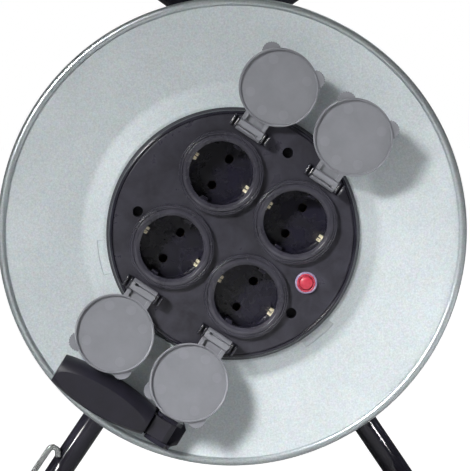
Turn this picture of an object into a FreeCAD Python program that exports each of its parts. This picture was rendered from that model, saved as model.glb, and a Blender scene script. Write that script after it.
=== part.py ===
import FreeCAD, Part
import math
import os
import re
import Sketcher

# Empty sheet-steel cable drum on a tube stand, with a panel of four earthed sockets.
# X runs to the right seen from the sockets, Y away from that viewer, Z up, floor at Z = 0.
# Pieces of the drum are drawn in the drum's own frame: X along the socket hinges, Y along the
# axle away from the viewer, Z across the hinges, origin on the front flange's flat face.

doc = FreeCAD.newDocument("CableDrum")
sheet = doc.addObject("Spreadsheet::Sheet", "Sizes")

driving_sizes = (
    ("floorGap", 55, "floor to the flanges' rims"),
    ("socketTilt", 33.7, "turn of the socket panel at rest, degrees"),
    # flanges and barrel
    ("flangeRadius", 145, "outside of the rolled rim"),
    ("flangeSheet", 1, "sheet of the flanges"),
    ("beadRadius", 2.6, "rolled rim"),
    ("coneSlopeWidth", 12, "slope of the raised cone, seen along the axle"),
    ("coneHeight", 9, "rise of the cone"),
    ("flangeHoleInset", 7.5, "opening for the socket panel, inside the cone's top edge"),
    ("windingWidth", 90, "between the flanges"),
    ("barrelInset", 2.5, "outside of the barrel, inside the cone's top edge"),
    ("barrelSheet", 1, "sheet of the barrel"),
    ("tabCount", 3, "bent tabs at each end of the barrel"),
    ("tabPlace", -16, "angle of the first tab, degrees"),
    ("tabReach", 6.2, "bent tab beyond the barrel"),
    ("tabAngle", 14.6, "angle that a tab covers, degrees"),
    ("tabSink", 0.3, "tab below the flange's face"),
    ("slotGap", 0.35, "gap round a tab in its slot"),
    ("stampInnerRadius", 31, "stamped ring of the rear flange, inside"),
    ("stampOuterRadius", 60, "stamped ring of the rear flange, outside"),
    ("stampDepth", 2.5, "depth of the stamped ring"),
    ("stampSlope", 3, "width of the stamped ring's slopes"),
    # hub and axle
    ("axleRadius", 8, "axle"),
    ("axleTailRadius", 6, "threaded tail of the axle"),
    ("runningGap", 0.05, "radial clearance of turning and sliding fits"),
    ("seatGap", 0.05, "clearance of fixed fits"),
    ("bushRadius", 12, "bearing sleeve through the rear flange"),
    ("bushLength", 55, "bearing sleeve in front of the rear flange"),
    ("bushFlangeRadius", 16, "flange of the bearing sleeve"),
    ("axleHeadRadius", 12, "head of the axle"),
    ("axleHeadHeight", 3, "head of the axle"),
    ("hubGap", 3.75, "rear flange to hub plate"),
    ("endFloat", 0.3, "axial play of the drum"),
    ("nutAcross", 19, "hexagon of the axle nut"),
    ("nutHeight", 10, "axle nut"),
    ("axleTailLength", 15.5, "thread behind the plate"),
    # stand
    ("tubeRadius", 8.25, "stand tube with its coating"),
    ("legAngle", 34, "leg from the vertical, degrees"),
    ("neckSpread", 24, "half spacing of the tubes beside the hub"),
    ("neckDrop", 5, "bend above the drum, below the rim's top"),
    ("handleHalfWidth", 66, "half width of the handle"),
    ("shoulderRise", 30, "rise of the handle's shoulder"),
    ("shoulderReach", 12, "forward reach of the shoulder"),
    ("handleRise", 65, "handle bar above the neck"),
    ("handleReach", 58, "handle bar forward of the stand's plane"),
    ("footRadius", 9.75, "foot caps and sleeves"),
    ("footReach", 38, "feet in front of the front flange"),
    ("footBend", 35, "bend from leg to foot"),
    ("neckBend", 60, "bend from leg to neck"),
    ("handleBend", 24, "bends of the handle bar"),
    ("shoulderBend", 30, "bends of the shoulder"),
    ("hubPlateThickness", 3, "plate between the tubes"),
    ("hubPlateHalfWidth", 37, "plate"),
    ("hubPlateHalfHeight", 32, "plate"),
    ("hubPlateCorner", 10, "cut corners of the plate"),
    ("capLength", 24, "front foot cap"),
    ("capWall", 3, "closed end of a foot cap"),
    ("sleeveLength", 26, "rear foot sleeve"),
    ("sleevePlace", 53, "rear foot sleeve behind the front flange"),
    ("footFlat", 0.45, "flat under a foot"),
    ("gripSleeveRadius", 13, "carrying grip"),
    ("gripSleeveLength", 80, "carrying grip"),
    ("gripSleeveEdge", 1.5, "cut edges of the carrying grip"),
    ("hookWireRadius", 1.9, "wire hook"),
    ("hookOffset", 14.3, "hook's long run from the leg's axis"),
    ("hookWeldOffset", 6.6, "hook's welded end from the leg's axis"),
    ("hookBend", 3.2, "tight bend of the hook"),
    ("hookWeldReach", 11.5, "hook's welded end below the rim"),
    ("hookRise", 15, "corner of the hook above its welded end"),
    ("hookRun", 34.5, "free end of the hook below its corner"),
    # socket housing
    ("faceHeight", 14, "face of the housing in front of the flange"),
    ("plateThickness", 2.5, "face plate"),
    ("faceMargin", 1.12, "edge of the face beyond the outer ears"),
    ("rimSlopeWidth", 2.6, "slope from the face's edge to the rim on the flange"),
    ("rimInset", 1.5, "rim inside the cone's top edge"),
    ("rimSlopeHeight", 12.8, "top of the rim's slope in front of the flange"),
    ("shellGap", 2, "inside of the housing's wall to the flange's opening"),
    ("socketPitch", 54.4, "socket to socket"),
    ("collarRadius", 25.8, "collar round a socket"),
    ("collarHeight", 19, "collar in front of the flange"),
    ("collarEdge", 1, "cut edge of the collar"),
    ("mouthRadius", 22.6, "sloped mouth of a well"),
    ("mouthDepth", 1.9, "sloped mouth of a well"),
    ("wellRadius", 19.5, "socket well"),
    ("wellDepth", 18.5, "well below its collar's top"),
    ("wellWall", 3, "wall of the well"),
    ("wellFloor", 2.6, "floor of the well"),
    ("pinHoleRadius", 2.8, "holes for the plug's pins"),
    ("pinPitch", 19, "pin to pin"),
    ("ribWidth", 4.6, "guide rib"),
    ("ribReach", 17.5, "guide rib to the socket's axis"),
    ("ribHeight", 13.5, "guide rib above the floor"),
    ("clipSlotWidth", 6, "recess of an earth clip"),
    ("clipSlotReach", 21.2, "recess of an earth clip"),
    ("clipSlotHeight", 14, "recess of an earth clip above the floor"),
    ("screwInset", 10, "housing screws inside the housing's wall"),
    ("screwSpreadAngle", 110, "angle between the screws, degrees"),
    ("screwRecessRadius", 3.25, "recess of a screw"),
    ("screwRecessDepth", 7, "recess of a screw"),
    ("screwBossHalf", 4.8, "boss and post of a screw, half across their flats"),
    ("screwBossLength", 10, "boss below the face"),
    ("screwRadius", 2, "screw shank"),
    ("screwHeadRadius", 3, "screw head"),
    ("screwHeadHeight", 2.2, "screw head"),
    ("screwLength", 22, "screw shank"),
    ("buttonPlace", 53.5, "reset button from the drum's axis"),
    ("neckRadius", 5.6, "threaded neck of the thermal switch"),
    ("neckHeight", 1.6, "neck in front of the face"),
    ("bezelRadius", 6.8, "clear ring round the button"),
    ("bezelHeight", 2.3, "clear ring"),
    ("buttonRadius", 4.3, "reset button"),
    ("buttonGap", 0.2, "gap round the button"),
    ("buttonRise", 3.1, "button in front of the face"),
    ("buttonDome", 1.1, "sloped edge of the button's top"),
    ("buttonLength", 12, "button"),
    ("buttonTravel", 2, "travel of the button"),
    ("switchWidth", 18, "thermal switch"),
    ("switchHeight", 14, "thermal switch"),
    ("switchDepth", 26, "thermal switch behind the face plate"),
    # hinges and lids
    ("hingeReach", 31.5, "hinge from the socket's axis"),
    ("hingePinRadius", 1.2, "hinge pin"),
    ("knuckleRadius", 3.9, "knuckle of a lid"),
    ("knuckleLength", 16.8, "knuckle of a lid"),
    ("knuckleSlit", 0.9, "slit along the knuckle"),
    ("knuckleSlitLength", 12, "slit along the knuckle"),
    ("knuckleSlitDepth", 1.3, "slit along the knuckle"),
    ("knuckleSlitPlace", 1.7, "slit from the hinge axis"),
    ("earGap", 0.45, "knuckle to ear"),
    ("earWall", 1.3, "each wall of a double ear"),
    ("earSlot", 1.5, "between the walls of an ear"),
    ("earHalfWidth", 3.8, "ear"),
    ("earTop", 3.4, "ear above the hinge axis"),
    ("earCorner", 1.6, "cut corners of the ear"),
    ("lidOpenTilt", 12, "open lid from the face's plane, degrees"),
    ("lidRadius", 24.3, "lid"),
    ("lidThickness", 2.6, "lid"),
    ("lidGap", 0.3, "shut lid above the collar"),
    ("lidRimWidth", 1.8, "raised rim of the lid's inner face"),
    ("lidRecess", 1.4, "recess of the lid's inner face"),
    ("lidArmWidth", 2.6, "arms between lid and knuckle"),
    ("lidWebThickness", 1.2, "web between the arms"),
    ("thumbAngle", 44.5, "thumb tab from the lid's middle, degrees"),
    ("thumbRadius", 6.2, "thumb tab"),
    ("thumbReach", 22.3, "thumb tab's centre from the lid's centre"),
    ("thumbThickness", 1.2, "thumb tab"),
    ("thumbTooth", 0.45, "serration of a thumb tab"),
    # pan and inner pieces
    ("panGap", 0.8, "pan to the barrel"),
    ("panWall", 2.2, "wall of the pan"),
    ("panBack", 26, "pan behind the flange's flat face"),
    ("panFloor", 2.5, "floor of the pan"),
    ("railWidth", 7, "contact rails"),
    ("railThickness", 1, "contact rails"),
    ("railLevelFront", 6, "front rail behind the flange's flat face"),
    ("railLevelBack", 11, "back rail behind the flange's flat face"),
    ("railShift", 5, "cross strip of a rail from the middle"),
    ("contactHalf", 3.2, "half width of a folded contact sleeve"),
    ("contactBore", 2.4, "half width of its bore"),
    ("contactLength", 14, "contact sleeve"),
    ("clipStrip", 0.8, "strip of an earth clip"),
    ("clipWidth", 4.4, "earth clip"),
    ("clipSplit", 0.7, "slit between an earth clip's prongs"),
    ("clipRise", 13.2, "earth clip above the well's floor"),
    ("clipBow", 4, "bow of an earth clip across its recess"),
    ("clipTail", 5, "earth clip below the well's floor"),
    ("terminalWidth", 14, "terminal block"),
    ("terminalHeight", 24, "terminal block"),
    ("terminalDepth", 11, "terminal block"),
    ("terminalPlace", 56, "terminal block from the drum's axis"),
    ("terminalHoleHalf", 2, "half width of the terminal block's wire holes"),
    ("terminalPitch", 7.5, "wire holes of the terminal block"),
    ("spoutPlace", 46, "cable spout from the drum's axis"),
    ("spoutAngle", 150, "cable spout's place, degrees from X towards Z"),
    ("spoutHalf", 8, "cable spout, half across its flats"),
    ("spoutBoreRadius", 5.5, "bore of the cable spout"),
    ("spoutLength", 12, "cable spout behind the pan"),
    ("grommetDepth", 46, "cable entry behind the front flange's face"),
    ("grommetBoreRadius", 5.5, "cable entry"),
    ("grommetNeckRadius", 8.5, "grommet in the barrel's hole"),
    ("grommetFlangeRadius", 11, "grommet flange"),
    ("grommetLip", 1.4, "grommet flange"),
    ("grommetFit", 0.2, "grommet neck in its hole"),
    # crank
    ("crankAlong", 31, "crank pivot along the hinges"),
    ("crankInset", 21.2, "crank pivot inside the rim, across the hinges"),
    ("crankSkew", 2.5, "turn of the folded crank, degrees"),
    ("crankRise", 14.1, "crank pivot in front of the flange"),
    ("baseHalfLength", 13, "crank base"),
    ("baseHalfWidth", 9.4, "crank base"),
    ("baseThickness", 2.5, "crank base"),
    ("baseCorner", 4, "cut corners of the crank base"),
    ("cheekInner", 6.5, "cheek of the crank base"),
    ("cheekThickness", 2.8, "cheek of the crank base"),
    ("cheekHalfLength", 8.6, "cheek of the crank base"),
    ("cheekTop", 6.2, "cheek above the pivot"),
    ("cheekCorner", 3.6, "cut corners of a cheek"),
    ("cheekGap", 0.3, "knuckle to cheek"),
    ("crankPinRadius", 2, "crank pin"),
    ("crankPinProud", 0.8, "crank pin beyond a cheek"),
    ("crankBlockRadius", 6.3, "crank knuckle"),
    ("crankBlockReach", 10, "crank knuckle towards the grip"),
    ("crankBlockFlare", 0.8, "crank knuckle's end beyond its sides"),
    ("spindleRadius", 3, "spindle"),
    ("spindleRoot", 4, "start of the spindle from the pivot"),
    ("gripGap", 0.4, "grip to knuckle"),
    ("gripLength", 64.5, "crank grip"),
    ("gripEndRadius", 9.3, "crank grip's ends"),
    ("gripShoulderRadius", 12, "crank grip's shoulders"),
    ("gripShoulder", 14, "shoulder from each end of the grip"),
    ("gripRadius", 13.3, "crank grip's middle"),
    ("gripFlat", 9.5, "flat faces from the grip's axis"),
    ("gripFlatAngle", 18, "turn of the flat faces at rest, degrees"),
    ("gripEndWall", 4, "closed end of the grip"),
)

# sizes that follow from the driving ones, so that neighbours keep together
following_sizes = (
    ("axisHeight", "flangeRadius + floorGap", "axle above the floor"),
    ("hingeAcross", "socketPitch / 2 + hingeReach", "hinge line from the drum's axis"),
    ("earInside", "knuckleLength / 2 + earGap", "inner face of an ear from its lid's middle"),
    ("earOutside", "earInside + 2 * earWall + earSlot", "outer face of an ear from its lid's middle"),
    (
        "faceRadius",
        "sqrt((socketPitch / 2 + earOutside) ^ 2 + (hingeAcross + earHalfWidth) ^ 2) + faceMargin",
        "edge of the housing's face, round the outer ears",
    ),
    ("rimRadius", "faceRadius + rimSlopeWidth", "housing rim on the flange"),
    ("coneInnerRadius", "rimRadius + rimInset", "top edge of the raised cone"),
    ("coneOuterRadius", "coneInnerRadius + coneSlopeWidth", "foot of the raised cone"),
    ("flangeHoleRadius", "coneInnerRadius - flangeHoleInset", "opening for the socket panel"),
    ("shellRadius", "flangeHoleRadius - shellGap", "inside of the housing's wall"),
    ("screwCircle", "shellRadius - screwInset", "housing screws"),
    ("barrelRadius", "coneInnerRadius - barrelInset", "outside of the barrel"),
    ("tabOuterRadius", "barrelRadius + tabReach", "reach of a bent tab"),
    ("panRadius", "barrelRadius - barrelSheet - panGap", "pan behind the housing"),
    ("neckTop", "flangeRadius - neckDrop", "bend above the drum, from the axle"),
    ("hookWeldDrop", "flangeRadius + hookWeldReach", "hook's welded end below the axle"),
    ("hookTopDrop", "hookWeldDrop - hookRise", "corner of the hook below the axle"),
    ("hookEndDrop", "hookTopDrop + hookRun", "free end of the hook below the axle"),
    ("crankAcross", "crankInset - flangeRadius", "crank pivot across the hinges"),
)

names = []
for row, (name, amount, note) in enumerate(driving_sizes + following_sizes, 1):
    follows = isinstance(amount, str)
    sheet.set(f"A{row}", "=" + amount if follows else str(amount))
    sheet.setAlias(f"A{row}", name)
    sheet.set(f"B{row}", note)
    names.append(name)
    if follows:
        doc.recompute()
doc.recompute()

name_pattern = re.compile(r"\b(" + "|".join(sorted(names, key=len, reverse=True)) + r")\b")

# sums of driving sizes that several pieces share
drum_depth = "(windingWidth + 2 * flangeSheet)"
rear_face = "(windingWidth + 2 * flangeSheet + coneHeight)"
plate_front = f"({rear_face} + hubGap)"
stand_plane = f"({plate_front} + hubPlateThickness + tubeRadius)"
front_plane = f"((footReach - {stand_plane} - tubeRadius) / 2)"
cone_slope = "(coneHeight / (coneOuterRadius - coneInnerRadius))"
bend_shift = f"(flangeSheet * tan(atan({cone_slope}) / 2))"
half_pitch = "(socketPitch / 2)"
well_floor_height = "(collarHeight - wellDepth)"
foot_drop = "(axisHeight - footRadius + footFlat)"
ear_offsets = ("earInside", "(earOutside - earWall)")
bush_front = f"({rear_face} - bushLength)"
rows = (1, -1)
tube_sides = 12
wire_sides = 6
pot_sides = 8
boss_sides = 6
tab_teeth = 9


def bound(text):
    """Sizes named in an expression, tied to the sheet."""
    return name_pattern.sub(r"Sizes.\1", text)


def number(text):
    """Present value of an expression of named sizes."""
    return float(sheet.evalExpression(bound(text)))


def point(*texts):
    return FreeCAD.Vector(*[number(text) for text in texts])


# frames of the drum, the folded crank and each lid
drum_frame = FreeCAD.Placement(
    point("0", front_plane, "axisHeight"),
    FreeCAD.Rotation(FreeCAD.Vector(0, 1, 0), number("socketTilt")),
)
crank_frame = drum_frame * FreeCAD.Placement(
    point("crankAlong", "-crankRise", "crankAcross"),
    FreeCAD.Rotation(FreeCAD.Vector(0, 1, 0), -number("crankSkew")),
)
stand_frame = FreeCAD.Placement(point("0", front_plane, "axisHeight"), FreeCAD.Rotation())


def lid_frame(side, row):
    """Frame of an open lid: X along its hinge, Y away from the hinge, Z out of its inner face."""
    tilt = math.radians(number("lidOpenTilt"))
    along = FreeCAD.Vector(row, 0, 0)
    outward = FreeCAD.Vector(0, -math.sin(tilt), row * math.cos(tilt))
    upward = along.cross(outward)
    turn = FreeCAD.Rotation(along, outward, upward, "XYZ")
    hinge = point(f"{side} * {half_pitch}", "-collarHeight", f"{row} * hingeAcross")
    return drum_frame * FreeCAD.Placement(hinge, turn)


def new_body(label, frame):
    body = doc.addObject("PartDesign::Body", label)
    body.Label = label
    body.AllowCompound = True
    body.Placement = frame
    return body


def new_sketch(body, plane, offset="0", turn="0", across="0"):
    """Sketch on one of the body's own planes, moved along its normal and across, or turned."""
    sketch = body.newObject("Sketcher::SketchObject", body.Name + "_sketch")
    support = [part for part in body.Origin.OriginFeatures if part.Role == plane][0]
    sketch.AttachmentSupport = (support, [""])
    sketch.MapMode = "FlatFace"
    sketch.AttachmentOffset = FreeCAD.Placement(
        point(across, "0", offset),
        FreeCAD.Rotation(FreeCAD.Vector(0, 1, 0), number(turn)),
    )
    if number(offset):
        sketch.setExpression("AttachmentOffset.Base.z", bound(offset))
    if number(across):
        sketch.setExpression("AttachmentOffset.Base.x", bound(across))
    return sketch


def pin_down(sketch, spot, across, up):
    """Fix a point of the sketch at named distances from its origin."""
    geometry, end = spot
    for kind, text in (("DistanceX", across), ("DistanceY", up)):
        rule = Sketcher.Constraint(kind, -1, 1, geometry, end, number(text))
        index = sketch.addConstraint(rule)
        sketch.setExpression(f"Constraints[{index}]", bound(text))


def outline(sketch, points):
    """Closed outline through the points."""
    places = [point(across, up, "0") for across, up in points]
    count = len(places)
    lines = []
    for index, start in enumerate(places):
        finish = places[(index + 1) % count]
        lines.append(sketch.addGeometry(Part.LineSegment(start, finish), False))
    for index, line in enumerate(lines):
        after = lines[(index + 1) % count]
        sketch.addConstraint(Sketcher.Constraint("Coincident", line, 2, after, 1))
    for line, (across, up) in zip(lines, points):
        pin_down(sketch, (line, 1), across, up)


def rectangle(sketch, across, up, half_across, half_up):
    corners = ((-1, -1), (1, -1), (1, 1), (-1, 1))
    outline(sketch, [
        (f"{across} + {a} * {half_across}", f"{up} + {b} * {half_up}") for a, b in corners
    ])


def regular(sketch, across, up, inner_radius, sides):
    """Regular outline of a number of sides, given by its inner radius."""
    step = 360 / sides
    radius = f"({inner_radius} / cos({step / 2}))"
    outline(sketch, [
        (f"{across} + {radius} * cos({step * corner})", f"{up} + {radius} * sin({step * corner})")
        for corner in range(sides)
    ])


def circle(sketch, across, up, radius):
    shape = Part.Circle(point(across, up, "0"), FreeCAD.Vector(0, 0, 1), number(radius))
    added = sketch.addGeometry(shape, False)
    index = sketch.addConstraint(Sketcher.Constraint("Radius", added, number(radius)))
    sketch.setExpression(f"Constraints[{index}]", bound(radius))
    pin_down(sketch, (added, 3), across, up)


def extrude(body, kind, sketch, length, back=False, both=False):
    """Pad or pocket; back turns it round, both spreads it to each side of the sketch."""
    feature = body.newObject("PartDesign::" + kind, body.Name + "_" + kind.lower())
    feature.Profile = sketch
    feature.setExpression("Length", bound(length))
    feature.Reversed = back
    feature.SideType = "Symmetric" if both else "One side"
    return feature


def spin(body, kind, sketch, angle=None, axis="V_Axis"):
    """Revolution or groove about an axis of the sketch."""
    feature = body.newObject("PartDesign::" + kind, body.Name + "_" + kind.lower())
    feature.Profile = sketch
    feature.ReferenceAxis = (sketch, [axis])
    feature.Midplane = angle is not None
    if angle is None:
        feature.Angle = 360
    else:
        feature.setExpression("Angle", bound(angle))
    return feature


def ring_of(body, feature, sketch, count):
    """Repeat a feature evenly round the body's Y axis."""
    pattern = body.newObject("PartDesign::PolarPattern", body.Name + "_ring")
    pattern.Originals = [feature]
    pattern.Axis = (sketch, ["V_Axis"])
    pattern.Angle = 360
    pattern.Occurrences = int(number(count))
    body.Tip = pattern
    return pattern


def turned(label, frame, points):
    """Turned piece: half section in radius and distance along the body's Y axis."""
    body = new_body(label, frame)
    sketch = new_sketch(body, "XY_Plane")
    outline(sketch, points)
    spin(body, "Revolution", sketch)
    return body


def socket_places():
    """Row, side and centre of each socket, as expressions."""
    for row in rows:
        for side in rows:
            yield row, side, f"{side} * {half_pitch}", f"{row} * {half_pitch}"


def screw_places():
    """Centres of the housing screws, one on the Z axis and one to each side."""
    for step in (0, 1, -1):
        angle = f"(90 + {step} * screwSpreadAngle)"
        yield f"(screwCircle * cos({angle}))", f"(screwCircle * sin({angle}))"


# Flanges and barrel

def mirrored_depth(text, rear):
    return f"{drum_depth} - ({text})" if rear else text


def cut_tab_slots(body, rear):
    sketch = new_sketch(body, "XY_Plane", turn="-tabPlace")
    inner = "(barrelRadius - barrelSheet - slotGap)"
    outer = "(tabOuterRadius + slotGap)"
    front = mirrored_depth("-coneHeight - barrelSheet", rear)
    back = mirrored_depth("flangeSheet", rear)
    outline(sketch, [(inner, front), (outer, front), (outer, back), (inner, back)])
    angle = "tabAngle + 2 * slotGap / tabOuterRadius * 180 / pi"
    slot = spin(body, "Groove", sketch, angle)
    ring_of(body, slot, sketch, "tabCount")


def rolled_rim(rear):
    """Section of the rolled rim, from the sheet's outer face round to its inner face."""
    middle = mirrored_depth("flangeSheet / 2", rear)
    outward = "-" if rear else ""
    radius = "(flangeRadius - beadRadius)"
    root = "(flangeRadius - beadRadius - sqrt(beadRadius ^ 2 - flangeSheet ^ 2 / 4))"
    side = "(beadRadius / 2)"
    points = [(root, mirrored_depth("0", rear))]
    for across, up in ((radius, "-beadRadius"), ("flangeRadius", f"-{side}")):
        points.append((across, f"{middle} + {outward}({up})"))
    for across, up in (("flangeRadius", side), (radius, "beadRadius")):
        points.append((across, f"{middle} + {outward}({up})"))
    points.append((root, mirrored_depth("flangeSheet", rear)))
    return points


def make_front_flange():
    body = new_body("front_flange", drum_frame)
    sketch = new_sketch(body, "XY_Plane")
    outline(sketch, [
        ("flangeHoleRadius", "-coneHeight"),
        ("coneInnerRadius", "-coneHeight"),
        ("coneOuterRadius", "0"),
        *rolled_rim(False),
        (f"coneOuterRadius - {bend_shift}", "flangeSheet"),
        (f"coneInnerRadius - {bend_shift}", "flangeSheet - coneHeight"),
        ("flangeHoleRadius", "flangeSheet - coneHeight"),
    ])
    spin(body, "Revolution", sketch)
    cut_tab_slots(body, False)
    return body


def make_rear_flange():
    body = new_body("rear_flange", drum_frame)
    sketch = new_sketch(body, "XY_Plane")
    sunk = f"({rear_face} - stampDepth)"
    outer = [
        ("bushRadius + seatGap", rear_face),
        ("stampInnerRadius", rear_face),
        ("stampInnerRadius + stampSlope", sunk),
        ("stampOuterRadius", sunk),
        ("stampOuterRadius + stampSlope", rear_face),
        ("coneInnerRadius", rear_face),
        ("coneOuterRadius", drum_depth),
    ]
    inner = [
        (f"coneOuterRadius - {bend_shift}", f"{drum_depth} - flangeSheet"),
        (f"coneInnerRadius - {bend_shift}", f"{rear_face} - flangeSheet"),
        ("stampOuterRadius + stampSlope", f"{rear_face} - flangeSheet"),
        ("stampOuterRadius", f"{sunk} - flangeSheet"),
        ("stampInnerRadius + stampSlope", f"{sunk} - flangeSheet"),
        ("stampInnerRadius", f"{rear_face} - flangeSheet"),
        ("bushRadius + seatGap", f"{rear_face} - flangeSheet"),
    ]
    outline(sketch, outer + rolled_rim(True) + inner)
    spin(body, "Revolution", sketch)
    cut_tab_slots(body, True)
    return body


def make_barrel():
    """Rolled sheet with three tabs at each end, bent outwards over the flanges' slots."""
    body = new_body("barrel", drum_frame)
    sketch = new_sketch(body, "XY_Plane")
    inner = "(barrelRadius - barrelSheet)"
    front = "(flangeSheet - coneHeight)"
    back = f"({rear_face} - flangeSheet)"
    outline(sketch, [(inner, front), ("barrelRadius", front), ("barrelRadius", back), (inner, back)])
    spin(body, "Revolution", sketch)
    for rear in (False, True):
        level = "(tabSink - coneHeight)"
        drop = f"({cone_slope} * (tabOuterRadius - coneInnerRadius))"
        section = [
            (inner, f"{front} + barrelSheet"),
            (inner, level),
            ("coneInnerRadius", level),
            ("tabOuterRadius", f"{level} + {drop}"),
            ("tabOuterRadius", f"{level} + {drop} + barrelSheet"),
            ("coneInnerRadius", f"{level} + barrelSheet"),
            ("barrelRadius", f"{level} + barrelSheet"),
            ("barrelRadius", f"{front} + barrelSheet"),
        ]
        tab_sketch = new_sketch(body, "XY_Plane", turn="-tabPlace")
        outline(tab_sketch, [(across, mirrored_depth(up, rear)) for across, up in section])
        tab = spin(body, "Revolution", tab_sketch, "tabAngle")
        ring_of(body, tab, tab_sketch, "tabCount")
    entry = new_sketch(body, "XY_Plane")
    circle(entry, "0", "grommetDepth", "grommetNeckRadius + grommetFit")
    extrude(body, "Pocket", entry, "flangeRadius", back=True)
    return body


def make_cable_grommet():
    """Rubber bush in the barrel's wall, where the cable would come out to be wound."""
    seat = FreeCAD.Placement(
        point("0", "grommetDepth", "barrelRadius"),
        FreeCAD.Rotation(FreeCAD.Vector(1, 0, 0), 90),
    )
    sag = "(barrelRadius - sqrt(barrelRadius ^ 2 - grommetFlangeRadius ^ 2))"
    return turned("cable_grommet", drum_frame * seat, [
        ("grommetBoreRadius", "grommetLip"),
        ("grommetFlangeRadius", "grommetFit"),
        ("grommetNeckRadius", "grommetFit"),
        ("grommetNeckRadius", f"-barrelSheet - {sag} - grommetLip"),
        ("grommetBoreRadius", f"-barrelSheet - {sag} - grommetLip"),
    ])


# Hub and axle

def make_hub_bush():
    """Plastic bearing sleeve in the rear flange, with a flange against the stand's plate."""
    bore = "(axleRadius + runningGap)"
    thrust = f"({plate_front} - endFloat)"
    return turned("hub_bush", drum_frame, [
        (bore, bush_front),
        ("bushRadius", bush_front),
        ("bushRadius", rear_face),
        ("bushFlangeRadius", rear_face),
        ("bushFlangeRadius", thrust),
        (bore, thrust),
    ])


def make_axle():
    """Shouldered bolt: head in front of the bush, thread through the stand's plate."""
    head_back = f"({bush_front} - endFloat)"
    tail = f"({plate_front} + hubPlateThickness + axleTailLength)"
    return turned("axle", drum_frame, [
        ("0", f"{head_back} - axleHeadHeight"),
        ("axleHeadRadius", f"{head_back} - axleHeadHeight"),
        ("axleHeadRadius", head_back),
        ("axleRadius", head_back),
        ("axleRadius", plate_front),
        ("axleTailRadius", plate_front),
        ("axleTailRadius", tail),
        ("0", tail),
    ])


def make_axle_nut():
    nut = doc.addObject("Part::Prism", "axle_nut_hexagon")
    nut.Polygon = 6
    nut.setExpression("Circumradius", bound("nutAcross / 2 / cos(30)"))
    nut.setExpression("Height", bound("nutHeight"))
    bore = doc.addObject("Part::Cylinder", "axle_nut_bore")
    bore.setExpression("Radius", bound("axleTailRadius + seatGap"))
    bore.setExpression("Height", bound("nutHeight"))
    cut = doc.addObject("Part::Cut", "axle_nut")
    cut.Base = nut
    cut.Tool = bore
    cut.Label = "axle_nut"
    seat = FreeCAD.Placement(
        point("0", f"{plate_front} + hubPlateThickness + nutHeight", "0"),
        FreeCAD.Rotation(FreeCAD.Vector(1, 0, 0), 90),
    )
    cut.Placement = stand_frame * seat
    return cut


# Stand

def bent_path(corners, bends):
    """Wire of straight runs joined by tangent arcs, one bend radius for each inner corner."""
    edges = []
    start = corners[0]
    for index, radius in enumerate(bends, 1):
        corner = corners[index]
        into = (corner - corners[index - 1]).normalize()
        out = (corners[index + 1] - corner).normalize()
        half_turn = into.getAngle(out) / 2
        reach = radius * math.tan(half_turn)
        first = corner - into * reach
        last = corner + out * reach
        inward = (out - into).normalize()
        middle = corner + inward * (radius / math.cos(half_turn) - radius)
        edges.append(Part.LineSegment(start, first).toShape())
        edges.append(Part.Arc(first, middle, last).toShape())
        start = last
    edges.append(Part.LineSegment(start, corners[-1]).toShape())
    return Part.Wire(edges)


def sweep_bar(label, wire, radius, sides):
    """Bar along a wire, drawn with a many-sided section that keeps its bends light."""
    spine = doc.addObject("Part::Feature", label + "_path")
    spine.Shape = wire
    first = wire.Edges[0]
    start = first.valueAt(first.FirstParameter)
    heading = first.tangentAt(first.FirstParameter)
    ring = doc.addObject("Part::RegularPolygon", label + "_section")
    ring.Polygon = sides
    ring.setExpression("Circumradius", bound(radius))
    ring.Placement = FreeCAD.Placement(start, FreeCAD.Rotation(FreeCAD.Vector(0, 0, 1), heading))
    sweep = doc.addObject("Part::Sweep", label)
    sweep.Sections = [ring]
    sweep.Spine = (spine, [f"Edge{index}" for index in range(1, len(wire.Edges) + 1)])
    sweep.Solid = True
    sweep.Transition = "Round corner"
    sweep.Label = label
    sweep.Placement = stand_frame
    return sweep


def stand_corners():
    """Corners of the stand's tube from the right front foot over the handle to the left one."""
    foot_out = f"({foot_drop} * tan(legAngle))"
    neck_start = "(neckSpread / tan(legAngle))"
    half = [
        (foot_out, "capWall - footReach", f"-{foot_drop}"),
        (foot_out, stand_plane, f"-{foot_drop}"),
        ("neckSpread", stand_plane, f"-{neck_start}"),
        ("neckSpread", stand_plane, "neckTop"),
        ("handleHalfWidth", f"{stand_plane} - shoulderReach", "neckTop + shoulderRise"),
        ("handleHalfWidth", f"{stand_plane} - handleReach", "neckTop + handleRise"),
    ]
    right = [point(*corner) for corner in half]
    left = [FreeCAD.Vector(-place.x, place.y, place.z) for place in reversed(right)]
    return right + left


def make_stand_tube():
    bends = ["footBend", "neckBend", "shoulderBend", "shoulderBend", "handleBend"]
    radii = [number(name) for name in bends + bends[::-1]]
    wire = bent_path(stand_corners(), radii)
    return sweep_bar("stand_tube", wire, "tubeRadius", tube_sides)


def make_hub_plate():
    body = new_body("hub_plate", stand_frame)
    sketch = new_sketch(body, "XZ_Plane", offset=f"-{plate_front}")
    wide = "hubPlateHalfWidth"
    high = "hubPlateHalfHeight"
    cut = "hubPlateCorner"
    outline(sketch, [
        (f"-{wide} + {cut}", f"-{high}"),
        (f"{wide} - {cut}", f"-{high}"),
        (wide, f"-{high} + {cut}"),
        (wide, f"{high} - {cut}"),
        (f"{wide} - {cut}", high),
        (f"-{wide} + {cut}", high),
        (f"-{wide}", f"{high} - {cut}"),
        (f"-{wide}", f"-{high} + {cut}"),
    ])
    circle(sketch, "0", "0", "axleTailRadius + seatGap")
    extrude(body, "Pad", sketch, "hubPlateThickness", back=True)
    return body


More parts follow.
